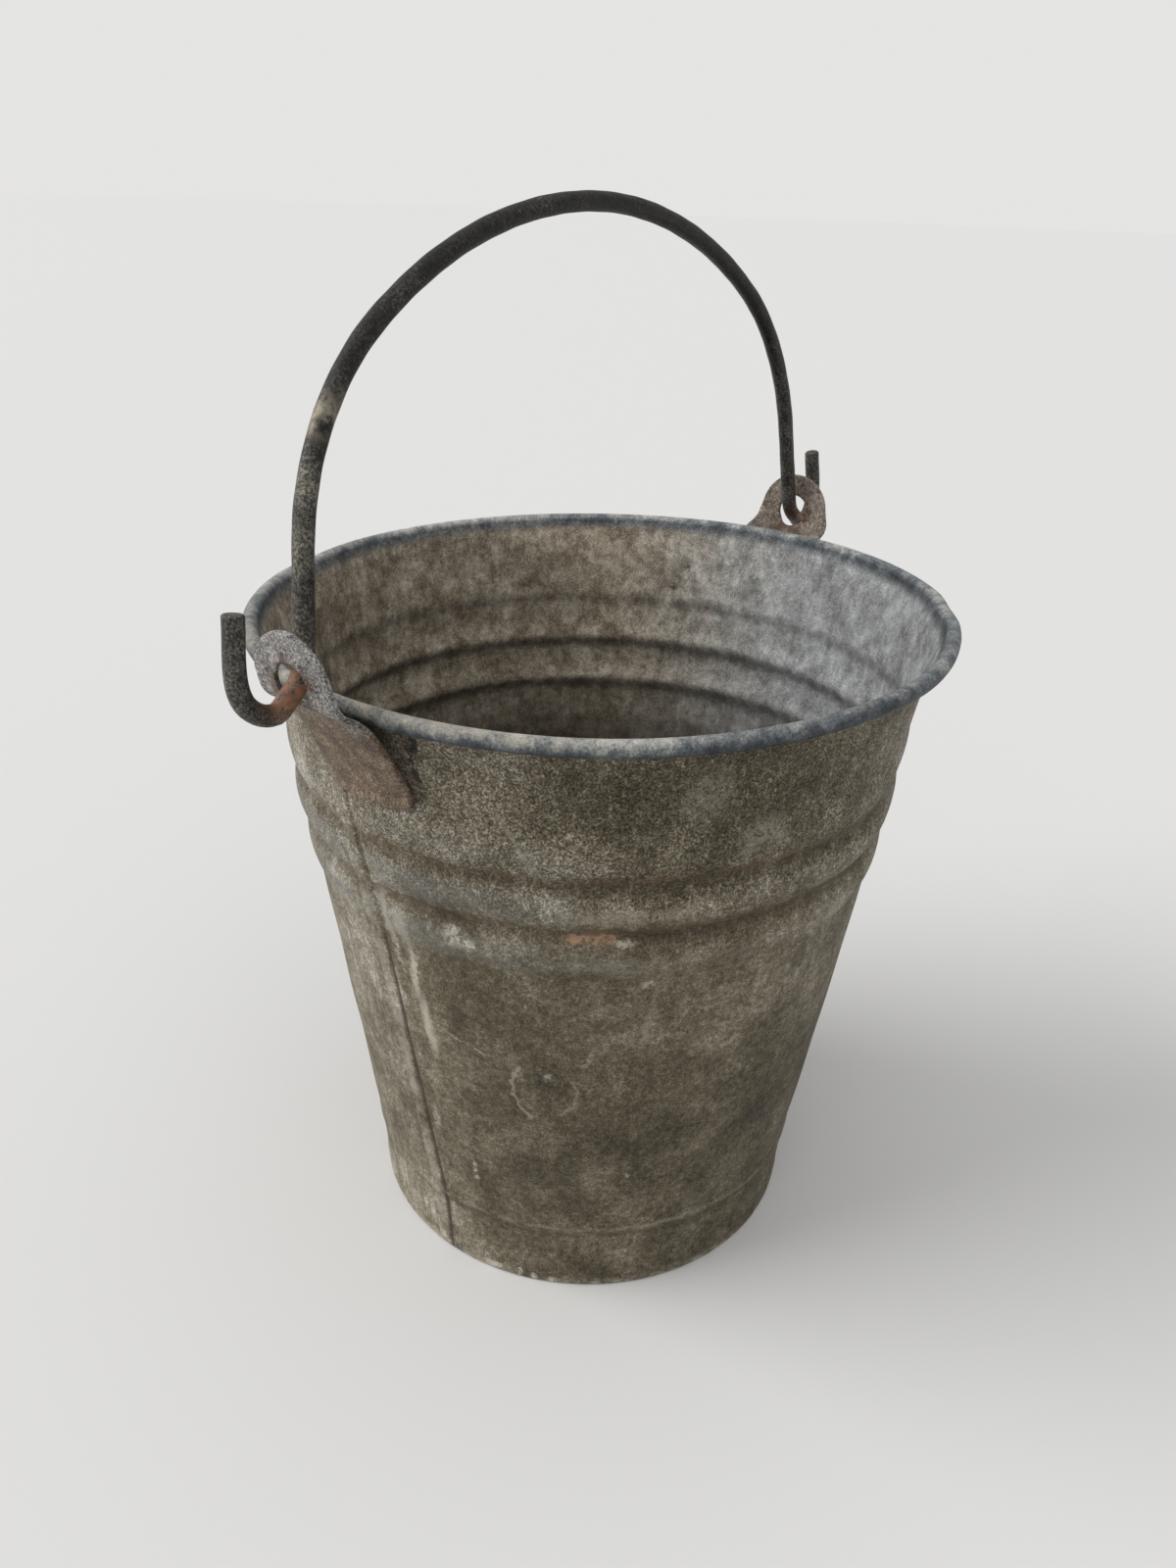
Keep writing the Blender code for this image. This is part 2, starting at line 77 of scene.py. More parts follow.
class Graph:
    """Lays out one material's nodes."""

    def __init__(self, name: str) -> None:
        """Start a material with an output and a principled shader.

        Args:
            name: The material's name.
        """
        self.material = bpy.data.materials.new(name)
        self.material.use_nodes = True
        self.nodes = self.material.node_tree.nodes
        self.links = self.material.node_tree.links
        self.shader = self.nodes["Principled BSDF"]

    def feed(self, socket: Socket, value: Input) -> None:
        """Link or set one input.

        Args:
            socket: The input to feed.
            value: Another node's output, a number, or a colour or vector.
        """
        if isinstance(value, bpy.types.NodeSocket):
            self.links.new(value, socket)
        elif isinstance(value, tuple) and socket.type == "RGBA":
            socket.default_value = (*value, 1.0)
        else:
            socket.default_value = value

    def node(self, kind: str, feeds: dict[int | str, Input], **settings: object) -> bpy.types.Node:
        """Add a node.

        Args:
            kind: The node's type name.
            feeds: What goes into its inputs, by index or name.
            settings: Its properties.

        Returns:
            The new node.
        """
        made = self.nodes.new(kind)
        for key, value in settings.items():
            setattr(made, key, value)
        for key, value in feeds.items():
            self.feed(made.inputs[key], value)
        return made

    def place(self) -> Socket:
        """Return the point on the piece, in metres."""
        return self.node("ShaderNodeTexCoord", {}).outputs["Object"]

    def attribute(self, name: str) -> Socket:
        """Return a vector that the mesh stores at its points."""
        return self.node("ShaderNodeAttribute", {}, attribute_name=name).outputs["Vector"]

    def split(self, vector: Socket) -> tuple[Socket, Socket, Socket]:
        """Return a vector's three parts."""
        return tuple(self.node("ShaderNodeSeparateXYZ", {0: vector}).outputs)

    def join(self, x: Input, y: Input, z: Input) -> Socket:
        """Return a vector from three parts."""
        return self.node("ShaderNodeCombineXYZ", {0: x, 1: y, 2: z}).outputs[0]

    def calc(self, operation: str, first: Input, second: Input = 0.0, clamp: bool = False) -> Socket:
        """Return a sum worked out on two numbers.

        Args:
            operation: The math node's operation.
            first: The first number.
            second: The second number, where the operation takes one.
            clamp: Whether the result stays between 0 and 1.

        Returns:
            The result.
        """
        feeds = {0: first, 1: second}
        return self.node("ShaderNodeMath", feeds, operation=operation, use_clamp=clamp).outputs[0]

    def add(self, *terms: Input) -> Socket:
        """Return the sum of several numbers."""
        total = terms[0]
        for term in terms[1:]:
            total = self.calc("ADD", total, term)
        return total

    def times(self, *terms: Input) -> Socket:
        """Return the product of several numbers."""
        total = terms[0]
        for term in terms[1:]:
            total = self.calc("MULTIPLY", total, term)
        return total

    def reach(self, x: Socket, y: Socket) -> Socket:
        """Return how far a point with these two parts lies from the middle."""
        return self.calc("SQRT", self.add(self.times(x, x), self.times(y, y)))

    def vector(self, operation: str, first: Input, second: Input, output: str = "Vector") -> Socket:
        """Return a sum worked out on two vectors."""
        return self.node("ShaderNodeVectorMath", {0: first, 1: second}, operation=operation).outputs[output]

    def spread(self, value: Socket, low: float, high: float, out_low: float = 0.0,
               out_high: float = 1.0) -> Socket:
        """Return a number eased from one range to another, and held at its ends.

        Args:
            value: The number.
            low: Where the ease starts.
            high: Where it ends.
            out_low: The result at the start.
            out_high: The result at the end.

        Returns:
            The eased number.
        """
        feeds = {"Value": value, "From Min": low, "From Max": high, "To Min": out_low, "To Max": out_high}
        return self.node("ShaderNodeMapRange", feeds, interpolation_type="SMOOTHSTEP").outputs[0]

    def band(self, value: Socket, centre: float, half_width: float) -> Socket:
        """Return 1 at a value's centre, easing to 0 at a distance on both sides.

        Args:
            value: The number.
            centre: Where the band peaks.
            half_width: How far it reaches.

        Returns:
            The band's strength.
        """
        away = self.calc("ABSOLUTE", self.calc("SUBTRACT", value, centre))
        return self.spread(away, 0.0, half_width, 1.0, 0.0)

    def scaled(self, vector: Socket, scale: tuple[float, float, float]) -> Socket:
        """Return a point with its axes scaled."""
        return self.vector("MULTIPLY", vector, scale)

    def noise(self, vector: Socket, scale: float, detail: float = 4.0, roughness: float = 0.55,
              output: str = "Fac") -> Socket:
        """Return a smooth random value.

        Args:
            vector: The point it is read at.
            scale: How many features fit in a metre.
            detail: How many finer layers it holds.
            roughness: How strong the finer layers are.
            output: Fac for a number, Color for three.

        Returns:
            The value, about 0.5 in the middle.
        """
        feeds = {"Vector": vector, "Scale": scale, "Detail": detail, "Roughness": roughness}
        return self.node("ShaderNodeTexNoise", feeds).outputs[output]

    def blend(self, share: Input, first: Input, second: Input, kind: str = "MIX") -> Socket:
        """Return two colours mixed.

        Args:
            share: How much of the second shows.
            first: The first colour.
            second: The second colour.
            kind: The blend type.

        Returns:
            The mixed colour.
        """
        feeds = {0: share, 6: first, 7: second}
        settings = {"data_type": "RGBA", "blend_type": kind, "clamp_factor": True}
        return self.node("ShaderNodeMix", feeds, **settings).outputs[2]

    def ramp(self, value: Socket, stops: Sequence[tuple[float, Colour]]) -> Socket:
        """Return a colour read from a scale of colours.

        Args:
            value: Where to read, 0 to 1.
            stops: The places and colours, at least two.

        Returns:
            The colour.
        """
        made = self.node("ShaderNodeValToRGB", {0: value})
        elements = made.color_ramp.elements
        while len(elements) < len(stops):
            elements.new(0.5)
        for element, (place, colour) in zip(elements, sorted(stops)):
            element.position = place
            element.color = (*colour, 1.0)
        return made.outputs[0]

    def finish(self, colour: Socket, metallic: Input, roughness: Input, height: Socket,
               depth: float, specular: float = 0.4) -> bpy.types.Material:
        """Feed the shader and return the material.

        Args:
            colour: The base colour.
            metallic: The metallic value.
            roughness: The roughness value.
            height: The relief, about 0 to 1.
            depth: The relief's depth in metres.
            specular: The specular level.

        Returns:
            The material.
        """
        bump = self.node("ShaderNodeBump", {"Height": height, "Distance": depth, "Strength": 1.0})
        self.feed(self.shader.inputs["Base Color"], colour)
        self.feed(self.shader.inputs["Metallic"], metallic)
        self.feed(self.shader.inputs["Roughness"], roughness)
        self.feed(self.shader.inputs["Normal"], bump.outputs[0])
        self.shader.inputs["Specular IOR Level"].default_value = specular
        return self.material


class Tint(Enum):
    """Colours of the marks that use has left, and of the painted contact shadow round the left ear's tab."""

    CHALK = srgb(206, 199, 183)
    ZINC = srgb(160, 155, 144)
    SCRATCH = srgb(158, 150, 132)
    SALMON = srgb(168, 136, 108)
    RED = srgb(110, 46, 34)
    # Grime, and also the painted contact shadow round the left ear's tab.
    GRIME_AND_SHADOW = srgb(46, 41, 34)
    # Used only for the painted shadow in the gap beside the left ear's neck.
    BLACK = srgb(20, 18, 15)


class Form(Enum):
    """Shapes that a mark can take."""

    SMEAR = "smear"
    LINE = "line"
    ARC = "arc"


@dataclass(frozen=True)
class Mark:
    """One mark on the sheet: where it lies, its size, its shape and its colour."""

    bearing: float
    height: float
    half_width: float
    half_height: float
    tint: Tint
    strength: float = 0.8
    lean: float = 0.0
    form: Form = Form.SMEAR

    def axes(self) -> tuple[tuple[float, float, float], tuple[float, float, float]]:
        """Return the directions across and along the mark, as shares of its half sizes."""
        turn = math.radians(self.lean)
        cosine, sine = math.cos(turn), math.sin(turn)
        width, length = self.half_width * MM, self.half_height * MM
        return (cosine / width, sine / width, 0.0), (-sine / length, cosine / length, 0.0)

    def mask(self, graph: Graph, sheet: Socket) -> Socket:
        """Return where the mark shows.

        Args:
            graph: The material being laid out.
            sheet: The point on the unrolled sheet, in metres.

        Returns:
            The mark's strength at that point.
        """
        centre = (math.radians(self.bearing) * SHEET_SPAN, self.height * MM, 0.0)
        from_centre = graph.vector("SUBTRACT", sheet, centre)
        across, along = (graph.vector("DOT_PRODUCT", from_centre, axis, "Value") for axis in self.axes())
        reach = graph.reach(across, along)
        if self.form is Form.SMEAR:
            speckle = graph.spread(graph.noise(sheet, 520.0, 5.0, 0.8), 0.42, 0.56)
            return graph.times(graph.spread(reach, 0.35, 1.3, self.strength, 0.0), speckle)
        if self.form is Form.LINE:
            return graph.spread(reach, 0.3, 1.2, self.strength, 0.0)
        ring = graph.band(reach, 1.0, 0.14)
        side = graph.spread(across, -0.35, -0.15, self.strength, 0.0)
        return graph.times(ring, side)


OUTSIDE_MARKS = (
    # The first five marks draw the dark outline round the left ear's tab: painted contact shadow, with some
    # dirt in the gap.
    Mark(10.6, 224, 0.9, 13.0, Tint.GRIME_AND_SHADOW, 0.85, 7.6, Form.LINE),
    Mark(10.2, 211, 0.9, 5.0, Tint.GRIME_AND_SHADOW, 0.85, -34, Form.LINE),
    Mark(3.2, 207.6, 10.0, 1.1, Tint.GRIME_AND_SHADOW, 0.8, 0, Form.LINE),
    Mark(-6.4, 220, 1.1, 12.0, Tint.GRIME_AND_SHADOW, 0.6, 0, Form.LINE),
    Mark(11.2, 231, 1.6, 5.0, Tint.BLACK, 0.9, 0, Form.LINE),
    Mark(-0.8, 163, 2.4, 12, Tint.ZINC, 0.75, 4, Form.LINE),
    Mark(0.4, 148, 0.9, 11, Tint.CHALK, 0.6, 2),
    Mark(3.0, 160, 2.6, 10, Tint.ZINC, 0.7, 2, Form.LINE),
    Mark(3.4, 141, 1.7, 13, Tint.CHALK, 0.6, -2, Form.LINE),
    Mark(4.6, 120, 2.5, 15, Tint.CHALK, 0.5, 4, Form.LINE),
    Mark(13.6, 165, 3.8, 4.5, Tint.CHALK, 0.75, 10),
    Mark(16.6, 163, 2.4, 2.0, Tint.CHALK, 1.0, -20),
    Mark(25.2, 203, 1.1, 10, Tint.ZINC, 0.7, 28),
    Mark(27.5, 194, 1.0, 6, Tint.ZINC, 0.6, 40),
    Mark(36.5, 170, 9.0, 2.0, Tint.SALMON, 1.0, 2),
    Mark(34.0, 170.5, 4.0, 1.2, Tint.SALMON, 0.7, 6, Form.LINE),
    Mark(41.5, 168.5, 4.0, 1.6, Tint.CHALK, 0.6, -8),
    Mark(40.0, 179, 16.0, 3.4, Tint.SCRATCH, 0.55, 0),
    Mark(49.0, 180, 8.0, 2.8, Tint.SCRATCH, 0.55, 6),
    Mark(40.0, 160, 18.0, 3.4, Tint.ZINC, 0.35, 0),
    Mark(62.0, 203, 8.0, 6.0, Tint.SCRATCH, 0.6, 25),
    Mark(66.0, 199, 5.0, 2.0, Tint.SCRATCH, 0.6, -20),
    Mark(52.0, 219, 7.0, 11.0, Tint.SCRATCH, 0.4, 0),
    Mark(73.0, 183, 6.0, 1.2, Tint.SCRATCH, 0.6, 12),
    Mark(12.5, 118, 11.0, 0.35, Tint.CHALK, 0.6, -17),
    Mark(25.5, 101, 6.0, 12.0, Tint.SCRATCH, 0.85, 8, Form.ARC),
    Mark(31.0, 101, -6.0, 9.0, Tint.SCRATCH, 0.6, -14, Form.ARC),
    Mark(36.5, 119, 0.9, 7.5, Tint.SCRATCH, 0.8, -18),
    Mark(29.0, 110, 2.2, 2.2, Tint.CHALK, 0.5, 0),
    Mark(47.0, 137, 1.2, 20.0, Tint.SCRATCH, 0.45, -6),
    Mark(62.0, 122, 0.6, 14.0, Tint.SCRATCH, 0.55, -5),
    Mark(46.0, 151, 2.2, 1.4, Tint.CHALK, 0.7, 0),
    Mark(46.5, 61, 1.3, 1.6, Tint.CHALK, 0.75, 0),
    Mark(11.0, 54, 1.1, 8.0, Tint.CHALK, 0.7, 4),
    Mark(2.0, 72, 1.8, 7.0, Tint.CHALK, 0.55, 0),
    Mark(57.0, 72, 1.2, 1.2, Tint.GRIME_AND_SHADOW, 0.7, 0),
    Mark(-6.0, 222, 1.0, 1.0, Tint.GRIME_AND_SHADOW, 0.9, 0),
    Mark(-9.0, 205, 0.6, 0.6, Tint.GRIME_AND_SHADOW, 0.8, 0),
    Mark(3.0, 2.0, 3.5, 3.0, Tint.GRIME_AND_SHADOW, 0.9, 0),
    Mark(-6.0, 14, 2.2, 6.0, Tint.CHALK, 0.7, 0),
    Mark(-2.0, 6, 3.0, 2.5, Tint.CHALK, 0.8, 0),
    Mark(14.0, 2.5, 5.0, 2.0, Tint.CHALK, 0.85, 0),
    Mark(21.0, 3.0, 2.0, 2.2, Tint.CHALK, 0.9, 0),
    Mark(25.0, 2.0, 1.5, 1.6, Tint.CHALK, 0.9, 0),
    Mark(29.0, 2.0, 2.0, 1.6, Tint.CHALK, 0.85, 0),
    Mark(64.0, 31.5, 26.0, 0.7, Tint.SCRATCH, 0.55, 1),
    Mark(22.0, 28.5, 18.0, 0.6, Tint.SCRATCH, 0.4, 0),
    Mark(118.0, 150, 3.0, 18, Tint.CHALK, 0.45, 6),
    Mark(133.0, 96, 9.0, 0.5, Tint.SCRATCH, 0.6, 24),
    Mark(150.0, 196, 7.0, 4.0, Tint.SCRATCH, 0.5, -12),
    Mark(176.0, 120, 1.2, 24, Tint.CHALK, 0.4, 3),
    Mark(-150.0, 70, 8.0, 9.0, Tint.SCRATCH, 0.7, -20, Form.ARC),
    Mark(-118.0, 172, 6.0, 2.0, Tint.SALMON, 0.6, 4),
    Mark(-84.0, 132, 1.6, 26, Tint.CHALK, 0.45, -3),
    Mark(-58.0, 208, 9.0, 4.0, Tint.SCRATCH, 0.45, 10),
    Mark(-40.0, 88, 10.0, 0.4, Tint.CHALK, 0.5, 20),
)

INSIDE_MARKS = (
    Mark(-160.0, 213, 1.8, 2.2, Tint.GRIME_AND_SHADOW, 0.9, 0),
    Mark(-159.0, 206, 1.6, 5.0, Tint.CHALK, 0.5, 0),
    Mark(-163.0, 222, 1.0, 2.2, Tint.GRIME_AND_SHADOW, 0.8, 0),
    Mark(-168.0, 206, 1.2, 0.9, Tint.RED, 0.9, 0),
    Mark(-166.0, 228, 2.6, 1.6, Tint.RED, 0.45, 0),
    Mark(-120.0, 226, 2.0, 6.0, Tint.CHALK, 0.45, 0),
    Mark(-60.0, 214, 2.4, 10, Tint.CHALK, 0.4, 3),
    Mark(-52.0, 200, 1.8, 9, Tint.CHALK, 0.35, -4),
)


@dataclass(frozen=True)
class WeatheredZinc:
    """The wall's dull brown-grey zinc, outside, on the bead and inside."""

    name: str = "weathered_zinc"
    groove_heights: tuple[float, float] = (188.9, 171.0)
    inner_grime_and_shade_heights: tuple[float, float, float] = (205.6, 186.0, 167.3)
    ragged_shift: tuple[float, float, float] = (7 * MM, 7 * MM, 0.0)

    def outside(self, graph: Graph, place: Socket, sheet: Socket, relief: Socket,
                grain: Socket, seam: Socket) -> Socket:
        """Return the colour of the wall's outer face.

        Args:
            graph: The material being laid out.
            place: The point on the wall.
            sheet: The point on the unrolled sheet.
            relief: The bands' relief, -1 in a groove to 1 on a crest.
            grain: The finest speckle.
            seam: How far the point lies from the seam's middle, in centimetres.

        Returns:
            The colour.
        """
        around, height, _ = graph.split(sheet)
        mottle = graph.noise(place, 60.0, 8.0, 0.68)
        cloud = graph.noise(place, 14.0, 4.0, 0.55)
        fine = graph.noise(place, 420.0, 5.0, 0.75)
        streak = graph.noise(graph.scaled(place, (300.0, 300.0, 34.0)), 1.0, 5.0, 0.7)
        upper = graph.spread(height, 150 * MM, 205 * MM)
        # Painted light: the wall is lighter behind the left ear, where the window lamp's light falls; the
        # streaks there are real weathering.
        left = graph.spread(around, 0.030, -0.014)
        tone = graph.add(
            0.5,
            graph.times(graph.spread(mottle, 0.3, 0.7, -0.5, 0.5), 0.25),
            graph.times(graph.spread(cloud, 0.35, 0.65, -0.5, 0.5), 0.12),
            graph.times(graph.spread(fine, 0.3, 0.7, -0.5, 0.5), 0.26),
            graph.times(graph.calc("SUBTRACT", grain, 0.5), graph.spread(upper, 0.0, 1.0, 0.34, 0.66)),
            graph.times(graph.spread(streak, 0.35, 0.7, -0.4, 0.6), graph.spread(left, 0.0, 1.0, 0.06, 0.14)),
            # Painted light from the window side.
            graph.times(left, 0.15),
            graph.times(relief, 0.10),
            graph.times(graph.band(height, 70 * MM, 55 * MM), -0.09),
            graph.times(graph.band(height, 216 * MM, 24 * MM), -0.03),
        )
        colour = graph.ramp(tone, (
            (0.0, srgb(30, 25, 17)),
            (0.28, srgb(66, 58, 42)),
            (0.45, srgb(95, 86, 67)),
            (0.6, srgb(118, 109, 90)),
            (0.78, srgb(156, 149, 133)),
            (1.0, srgb(206, 202, 192)),
        ))
        olive = graph.times(graph.spread(graph.noise(place, 9.0, 2.0), 0.42, 0.62), 0.35)
        colour = graph.blend(olive, colour, srgb(104, 102, 80), "SOFT_LIGHT")
        cool = graph.times(graph.spread(relief, 0.15, 0.8), graph.spread(around, 0.085, 0.0), 0.55)
        colour = graph.blend(cool, colour, srgb(122, 126, 128), "SOFT_LIGHT")
        colour = graph.blend(graph.times(cool, 0.5), colour, srgb(128, 128, 126))
        ragged = graph.spread(graph.noise(place, 150.0, 4.0, 0.7), 0.38, 0.6)
        for level in self.groove_heights:
            dirt = graph.band(height, level * MM, 4.2 * MM)
            colour = graph.blend(graph.times(dirt, 0.42), colour, srgb(66, 54, 41))
            line = graph.band(height, (level + 2.6) * MM, 1.5 * MM)
            colour = graph.blend(graph.times(line, ragged, 0.55), colour, srgb(112, 78, 52))
        below = graph.spread(height, 158 * MM, 148 * MM)
        fold = graph.times(graph.band(seam, 0.34, 0.11), graph.spread(below, 0.0, 1.0, 0.45, 0.85))
        colour = graph.blend(fold, colour, srgb(58, 50, 38))
        worn = graph.times(graph.band(seam, -0.05, 0.42), ragged, graph.spread(below, 0.0, 1.0, 0.25, 0.5))
        colour = graph.blend(worn, colour, srgb(168, 162, 148))
        # Painted highlight: a broken pale line along the top of the crease ridge.
        crease = graph.times(graph.band(height, 30.8 * MM, 1.1 * MM), ragged, 0.5)
        colour = graph.blend(crease, colour, srgb(152, 144, 126))
        shade = graph.times(graph.band(height, 27.4 * MM, 2.4 * MM), 0.35)
        colour = graph.blend(shade, colour, srgb(52, 46, 35))
        edge = graph.times(graph.spread(height, 4.5 * MM, 0.8 * MM), ragged)
        colour = graph.blend(graph.times(edge, 0.75), colour, srgb(176, 168, 152))
        for mark in OUTSIDE_MARKS:
            colour = graph.blend(mark.mask(graph, sheet), colour, mark.tint.value)
        return colour

    def inside(self, graph: Graph, place: Socket, sheet: Socket, grain: Socket) -> Socket:
        """Return the colour of the wall's inner face.

        Args:
            graph: The material being laid out.
            place: The point on the wall.
            sheet: The point on the unrolled sheet.
            grain: The finest speckle.

        Returns:
            The colour.
        """
        height = graph.split(sheet)[1]
        x, y, _ = graph.split(place)
        # Painted light: towards the camera's right (+X, -Y) the inner wall turns bluer and a little lighter,
        # where the window light falls on the far inner wall.
        across = graph.add(graph.times(x, 6.0), graph.times(y, -7.9))
        cool = graph.spread(across, 0.0, 0.9)
        mottle = graph.noise(place, 80.0, 7.0, 0.7)
        patch = graph.noise(place, 220.0, 5.0, 0.72)
        streak = graph.noise(graph.scaled(place, (210.0, 210.0, 60.0)), 1.0, 5.0, 0.7)
        tone = graph.add(
            0.5,
            graph.times(graph.spread(mottle, 0.3, 0.7, -0.5, 0.5), 0.36),
            graph.times(graph.spread(patch, 0.3, 0.7, -0.5, 0.5), 0.30),
            graph.times(graph.spread(streak, 0.32, 0.68, -0.5, 0.5), 0.16),
            graph.times(graph.calc("SUBTRACT", grain, 0.5), 0.36),
            graph.times(cool, 0.06),
        )
        warm = graph.ramp(tone, (
            (0.0, srgb(58, 49, 36)),
            (0.35, srgb(118, 106, 88)),
            (0.55, srgb(152, 141, 123)),
            (0.8, srgb(190, 181, 163)),
            (1.0, srgb(214, 207, 192)),
        ))
        blue = graph.ramp(tone, (
            (0.0, srgb(62, 61, 59)),
            (0.35, srgb(112, 112, 110)),
            (0.55, srgb(138, 139, 138)),
            (0.8, srgb(166, 168, 167)),
            (1.0, srgb(196, 197, 195)),
        ))
        # Painted light: the warm scale is the shaded copy and the blue scale the lit copy of one zinc.
        colour = graph.blend(cool, warm, blue)
        # Dark rings under the bands' inward ridges: some grime, and painted shade on the faces that turn
        # downwards there.
        for level in self.inner_grime_and_shade_heights:
            depth = 0.55 if level < 200 else 0.4
            ring = graph.band(height, level * MM, 4.2 * MM)
            colour = graph.blend(graph.times(ring, depth), colour, srgb(50, 48, 46))
        deep = graph.spread(height, 188 * MM, 128 * MM, 0.0, 0.85)
        colour = graph.blend(deep, colour, srgb(46, 40, 30))
        for mark in INSIDE_MARKS:
            colour = graph.blend(mark.mask(graph, sheet), colour, mark.tint.value)
        return colour

    def bead(self, graph: Graph, place: Socket, around: Socket, rise: Socket,
             grain: Socket) -> Socket:
        """Return the colour of the rolled rim.

        Args:
            graph: The material being laid out.
            place: The point on the wall.
            around: The bearing, in radians.
            rise: How high on the roll the point is, -1 to 1.
            grain: The finest speckle.

        Returns:
            The colour.
        """
        wear = graph.noise(place, 150.0, 6.0, 0.78)
        long = graph.noise(place, 16.0, 3.0)
        tone = graph.add(
            graph.times(wear, 0.95),
            graph.times(grain, 0.16),
            graph.times(long, 0.6),
            # Painted light: the top of the roll is lighter and its underside darker.
            graph.times(rise, 0.2),
            -0.40,
        )
        metal = graph.ramp(tone, (
            (0.2, srgb(34, 36, 38)),
            (0.42, srgb(70, 75, 79)),
            (0.56, srgb(104, 109, 111)),
            (0.7, srgb(158, 157, 151)),
            (0.9, srgb(212, 208, 199)),
        ))
        ends = graph.spread(graph.calc("ABSOLUTE", around), 0.75, 0.35, 0.0, 0.45)
        dust = graph.times(ends, graph.spread(rise, -0.3, 0.6), graph.spread(wear, 0.36, 0.55))
        return graph.blend(dust, metal, srgb(168, 158, 138))

    def material(self) -> bpy.types.Material:
        """Return the finish as a material."""
        graph = Graph(self.name)
        place = graph.place()
        inside, bead, relief = graph.split(graph.attribute("zone"))
        seam = graph.split(graph.attribute("seam"))[0]
        x, y, height = graph.split(place)
        bearing = graph.calc("ARCTAN2", graph.times(y, -1.0), graph.times(x, -1.0))
        flat = graph.join(graph.times(bearing, SHEET_SPAN), height, 0.0)
        ragged = graph.noise(place, 300.0, 5.0, 0.8, output="Color")
        shift = graph.scaled(graph.vector("SUBTRACT", ragged, (0.5, 0.5, 0.5)), self.ragged_shift)
        sheet = graph.vector("ADD", flat, shift)
        grain = graph.spread(graph.noise(place, 1350.0, 5.0, 0.85), 0.36, 0.64)
        outer = self.outside(graph, place, sheet, relief, grain, seam)
        inner = self.inside(graph, place, sheet, grain)
        rim = self.bead(graph, place, bearing, relief, grain)
        colour = graph.blend(inside, outer, inner)
        colour = graph.blend(bead, colour, rim)
        pits = graph.noise(place, 520.0, 4.0, 0.7)
        relief_height = graph.add(graph.times(grain, 0.3), graph.times(pits, 0.7))
        roughness = graph.add(graph.spread(pits, 0.3, 0.7, 0.56, 0.72), graph.times(bead, -0.18))
        metallic = graph.spread(bead, 0.0, 1.0, 0.35, 0.62)
        return graph.finish(colour, metallic, roughness, relief_height, 0.35 * MM)


@dataclass(frozen=True)
class StainedZinc:
    """Dirty zinc of the bottom, darker towards its edge."""

    name: str = "stained_zinc"
    radius: float = 84 * MM

    def material(self) -> bpy.types.Material:
        """Return the finish as a material."""
        graph = Graph(self.name)
        place = graph.place()
        x, y, _ = graph.split(place)
        reach = graph.reach(x, y)
        grain = graph.noise(place, 1100.0, 3.0, 0.75)
        tone = graph.add(
            graph.times(graph.noise(place, 38.0, 6.0, 0.65), 0.9),
            graph.times(graph.noise(place, 240.0, 4.0, 0.6), 0.35),
            graph.times(grain, 0.3),
            graph.spread(reach, 0.55 * self.radius, self.radius, -0.26, -0.44),
        )
        colour = graph.ramp(tone, (
            (0.2, srgb(48, 42, 34)),
            (0.42, srgb(84, 76, 63)),
            (0.58, srgb(112, 105, 93)),
            (0.8, srgb(158, 153, 143)),
        ))
        rust = graph.spread(graph.noise(place, 55.0, 5.0, 0.7), 0.56, 0.68, 0.0, 0.6)
        colour = graph.blend(rust, colour, srgb(104, 70, 46))
        pits = graph.noise(place, 480.0, 4.0, 0.7)
        return graph.finish(colour, 0.3, graph.spread(pits, 0.3, 0.7, 0.58, 0.76), pits, 0.3 * MM)


@dataclass(frozen=True)
class EarZinc:
    """Rough zinc of an ear, silvery at its lobe and brown on its tab; the lobe's silver is partly a painted
    highlight where it faces up into the light.
    """

    name: str
    lobe_height: float = 247.9 * MM
    silver_and_highlight: float = 1.0

    def material(self) -> bpy.types.Material:
        """Return the finish as a material."""
        graph = Graph(self.name)
        place = graph.place()
        _, y, height = graph.split(place)
        grain = graph.spread(graph.noise(place, 1300.0, 5.0, 0.85), 0.36, 0.64)
        mottle = graph.noise(place, 150.0, 6.0, 0.75)
        brown = graph.ramp(graph.add(graph.times(mottle, 1.0), graph.times(grain, 0.34), -0.17), (
            (0.25, srgb(50, 38, 29)),
            (0.45, srgb(104, 84, 66)),
            (0.6, srgb(136, 117, 96)),
            (0.8, srgb(190, 175, 152)),
        ))
        silver_and_highlight = graph.ramp(graph.add(graph.times(mottle, 1.0), graph.times(grain, 0.50), -0.22), (
            (0.25, srgb(52, 50, 48)),
            (0.45, srgb(116, 113, 110)),
            (0.62, srgb(160, 157, 152)),
            (0.85, srgb(222, 219, 212)),
        ))
        # The lobe turns silvery above the rim: partly bright zinc, partly painted light on its upward face.
        level = graph.add(height, graph.times(graph.noise(place, 90.0, 4.0, 0.6), 0.022), -0.011)
        share = graph.spread(level, self.lobe_height - 15 * MM, self.lobe_height - 4 * MM, 0.0, self.silver_and_highlight)
        colour = graph.blend(share, brown, silver_and_highlight)
        drop = graph.calc("SUBTRACT", height, self.lobe_height)
        away = graph.reach(y, drop)
        ring = graph.spread(away, 7 * MM, 11 * MM, 0.75, 0.0)
        ragged = graph.spread(graph.noise(place, 210.0, 4.0, 0.7), 0.4, 0.62)
        colour = graph.blend(graph.times(ring, ragged), colour, srgb(92, 62, 42))
        metallic = graph.spread(share, 0.0, 1.0, 0.25, 0.55)
        relief = graph.add(graph.times(grain, 0.6), graph.times(mottle, 0.7))
        return graph.finish(colour, metallic, graph.spread(mottle, 0.3, 0.7, 0.5, 0.68), relief, 0.5 * MM)


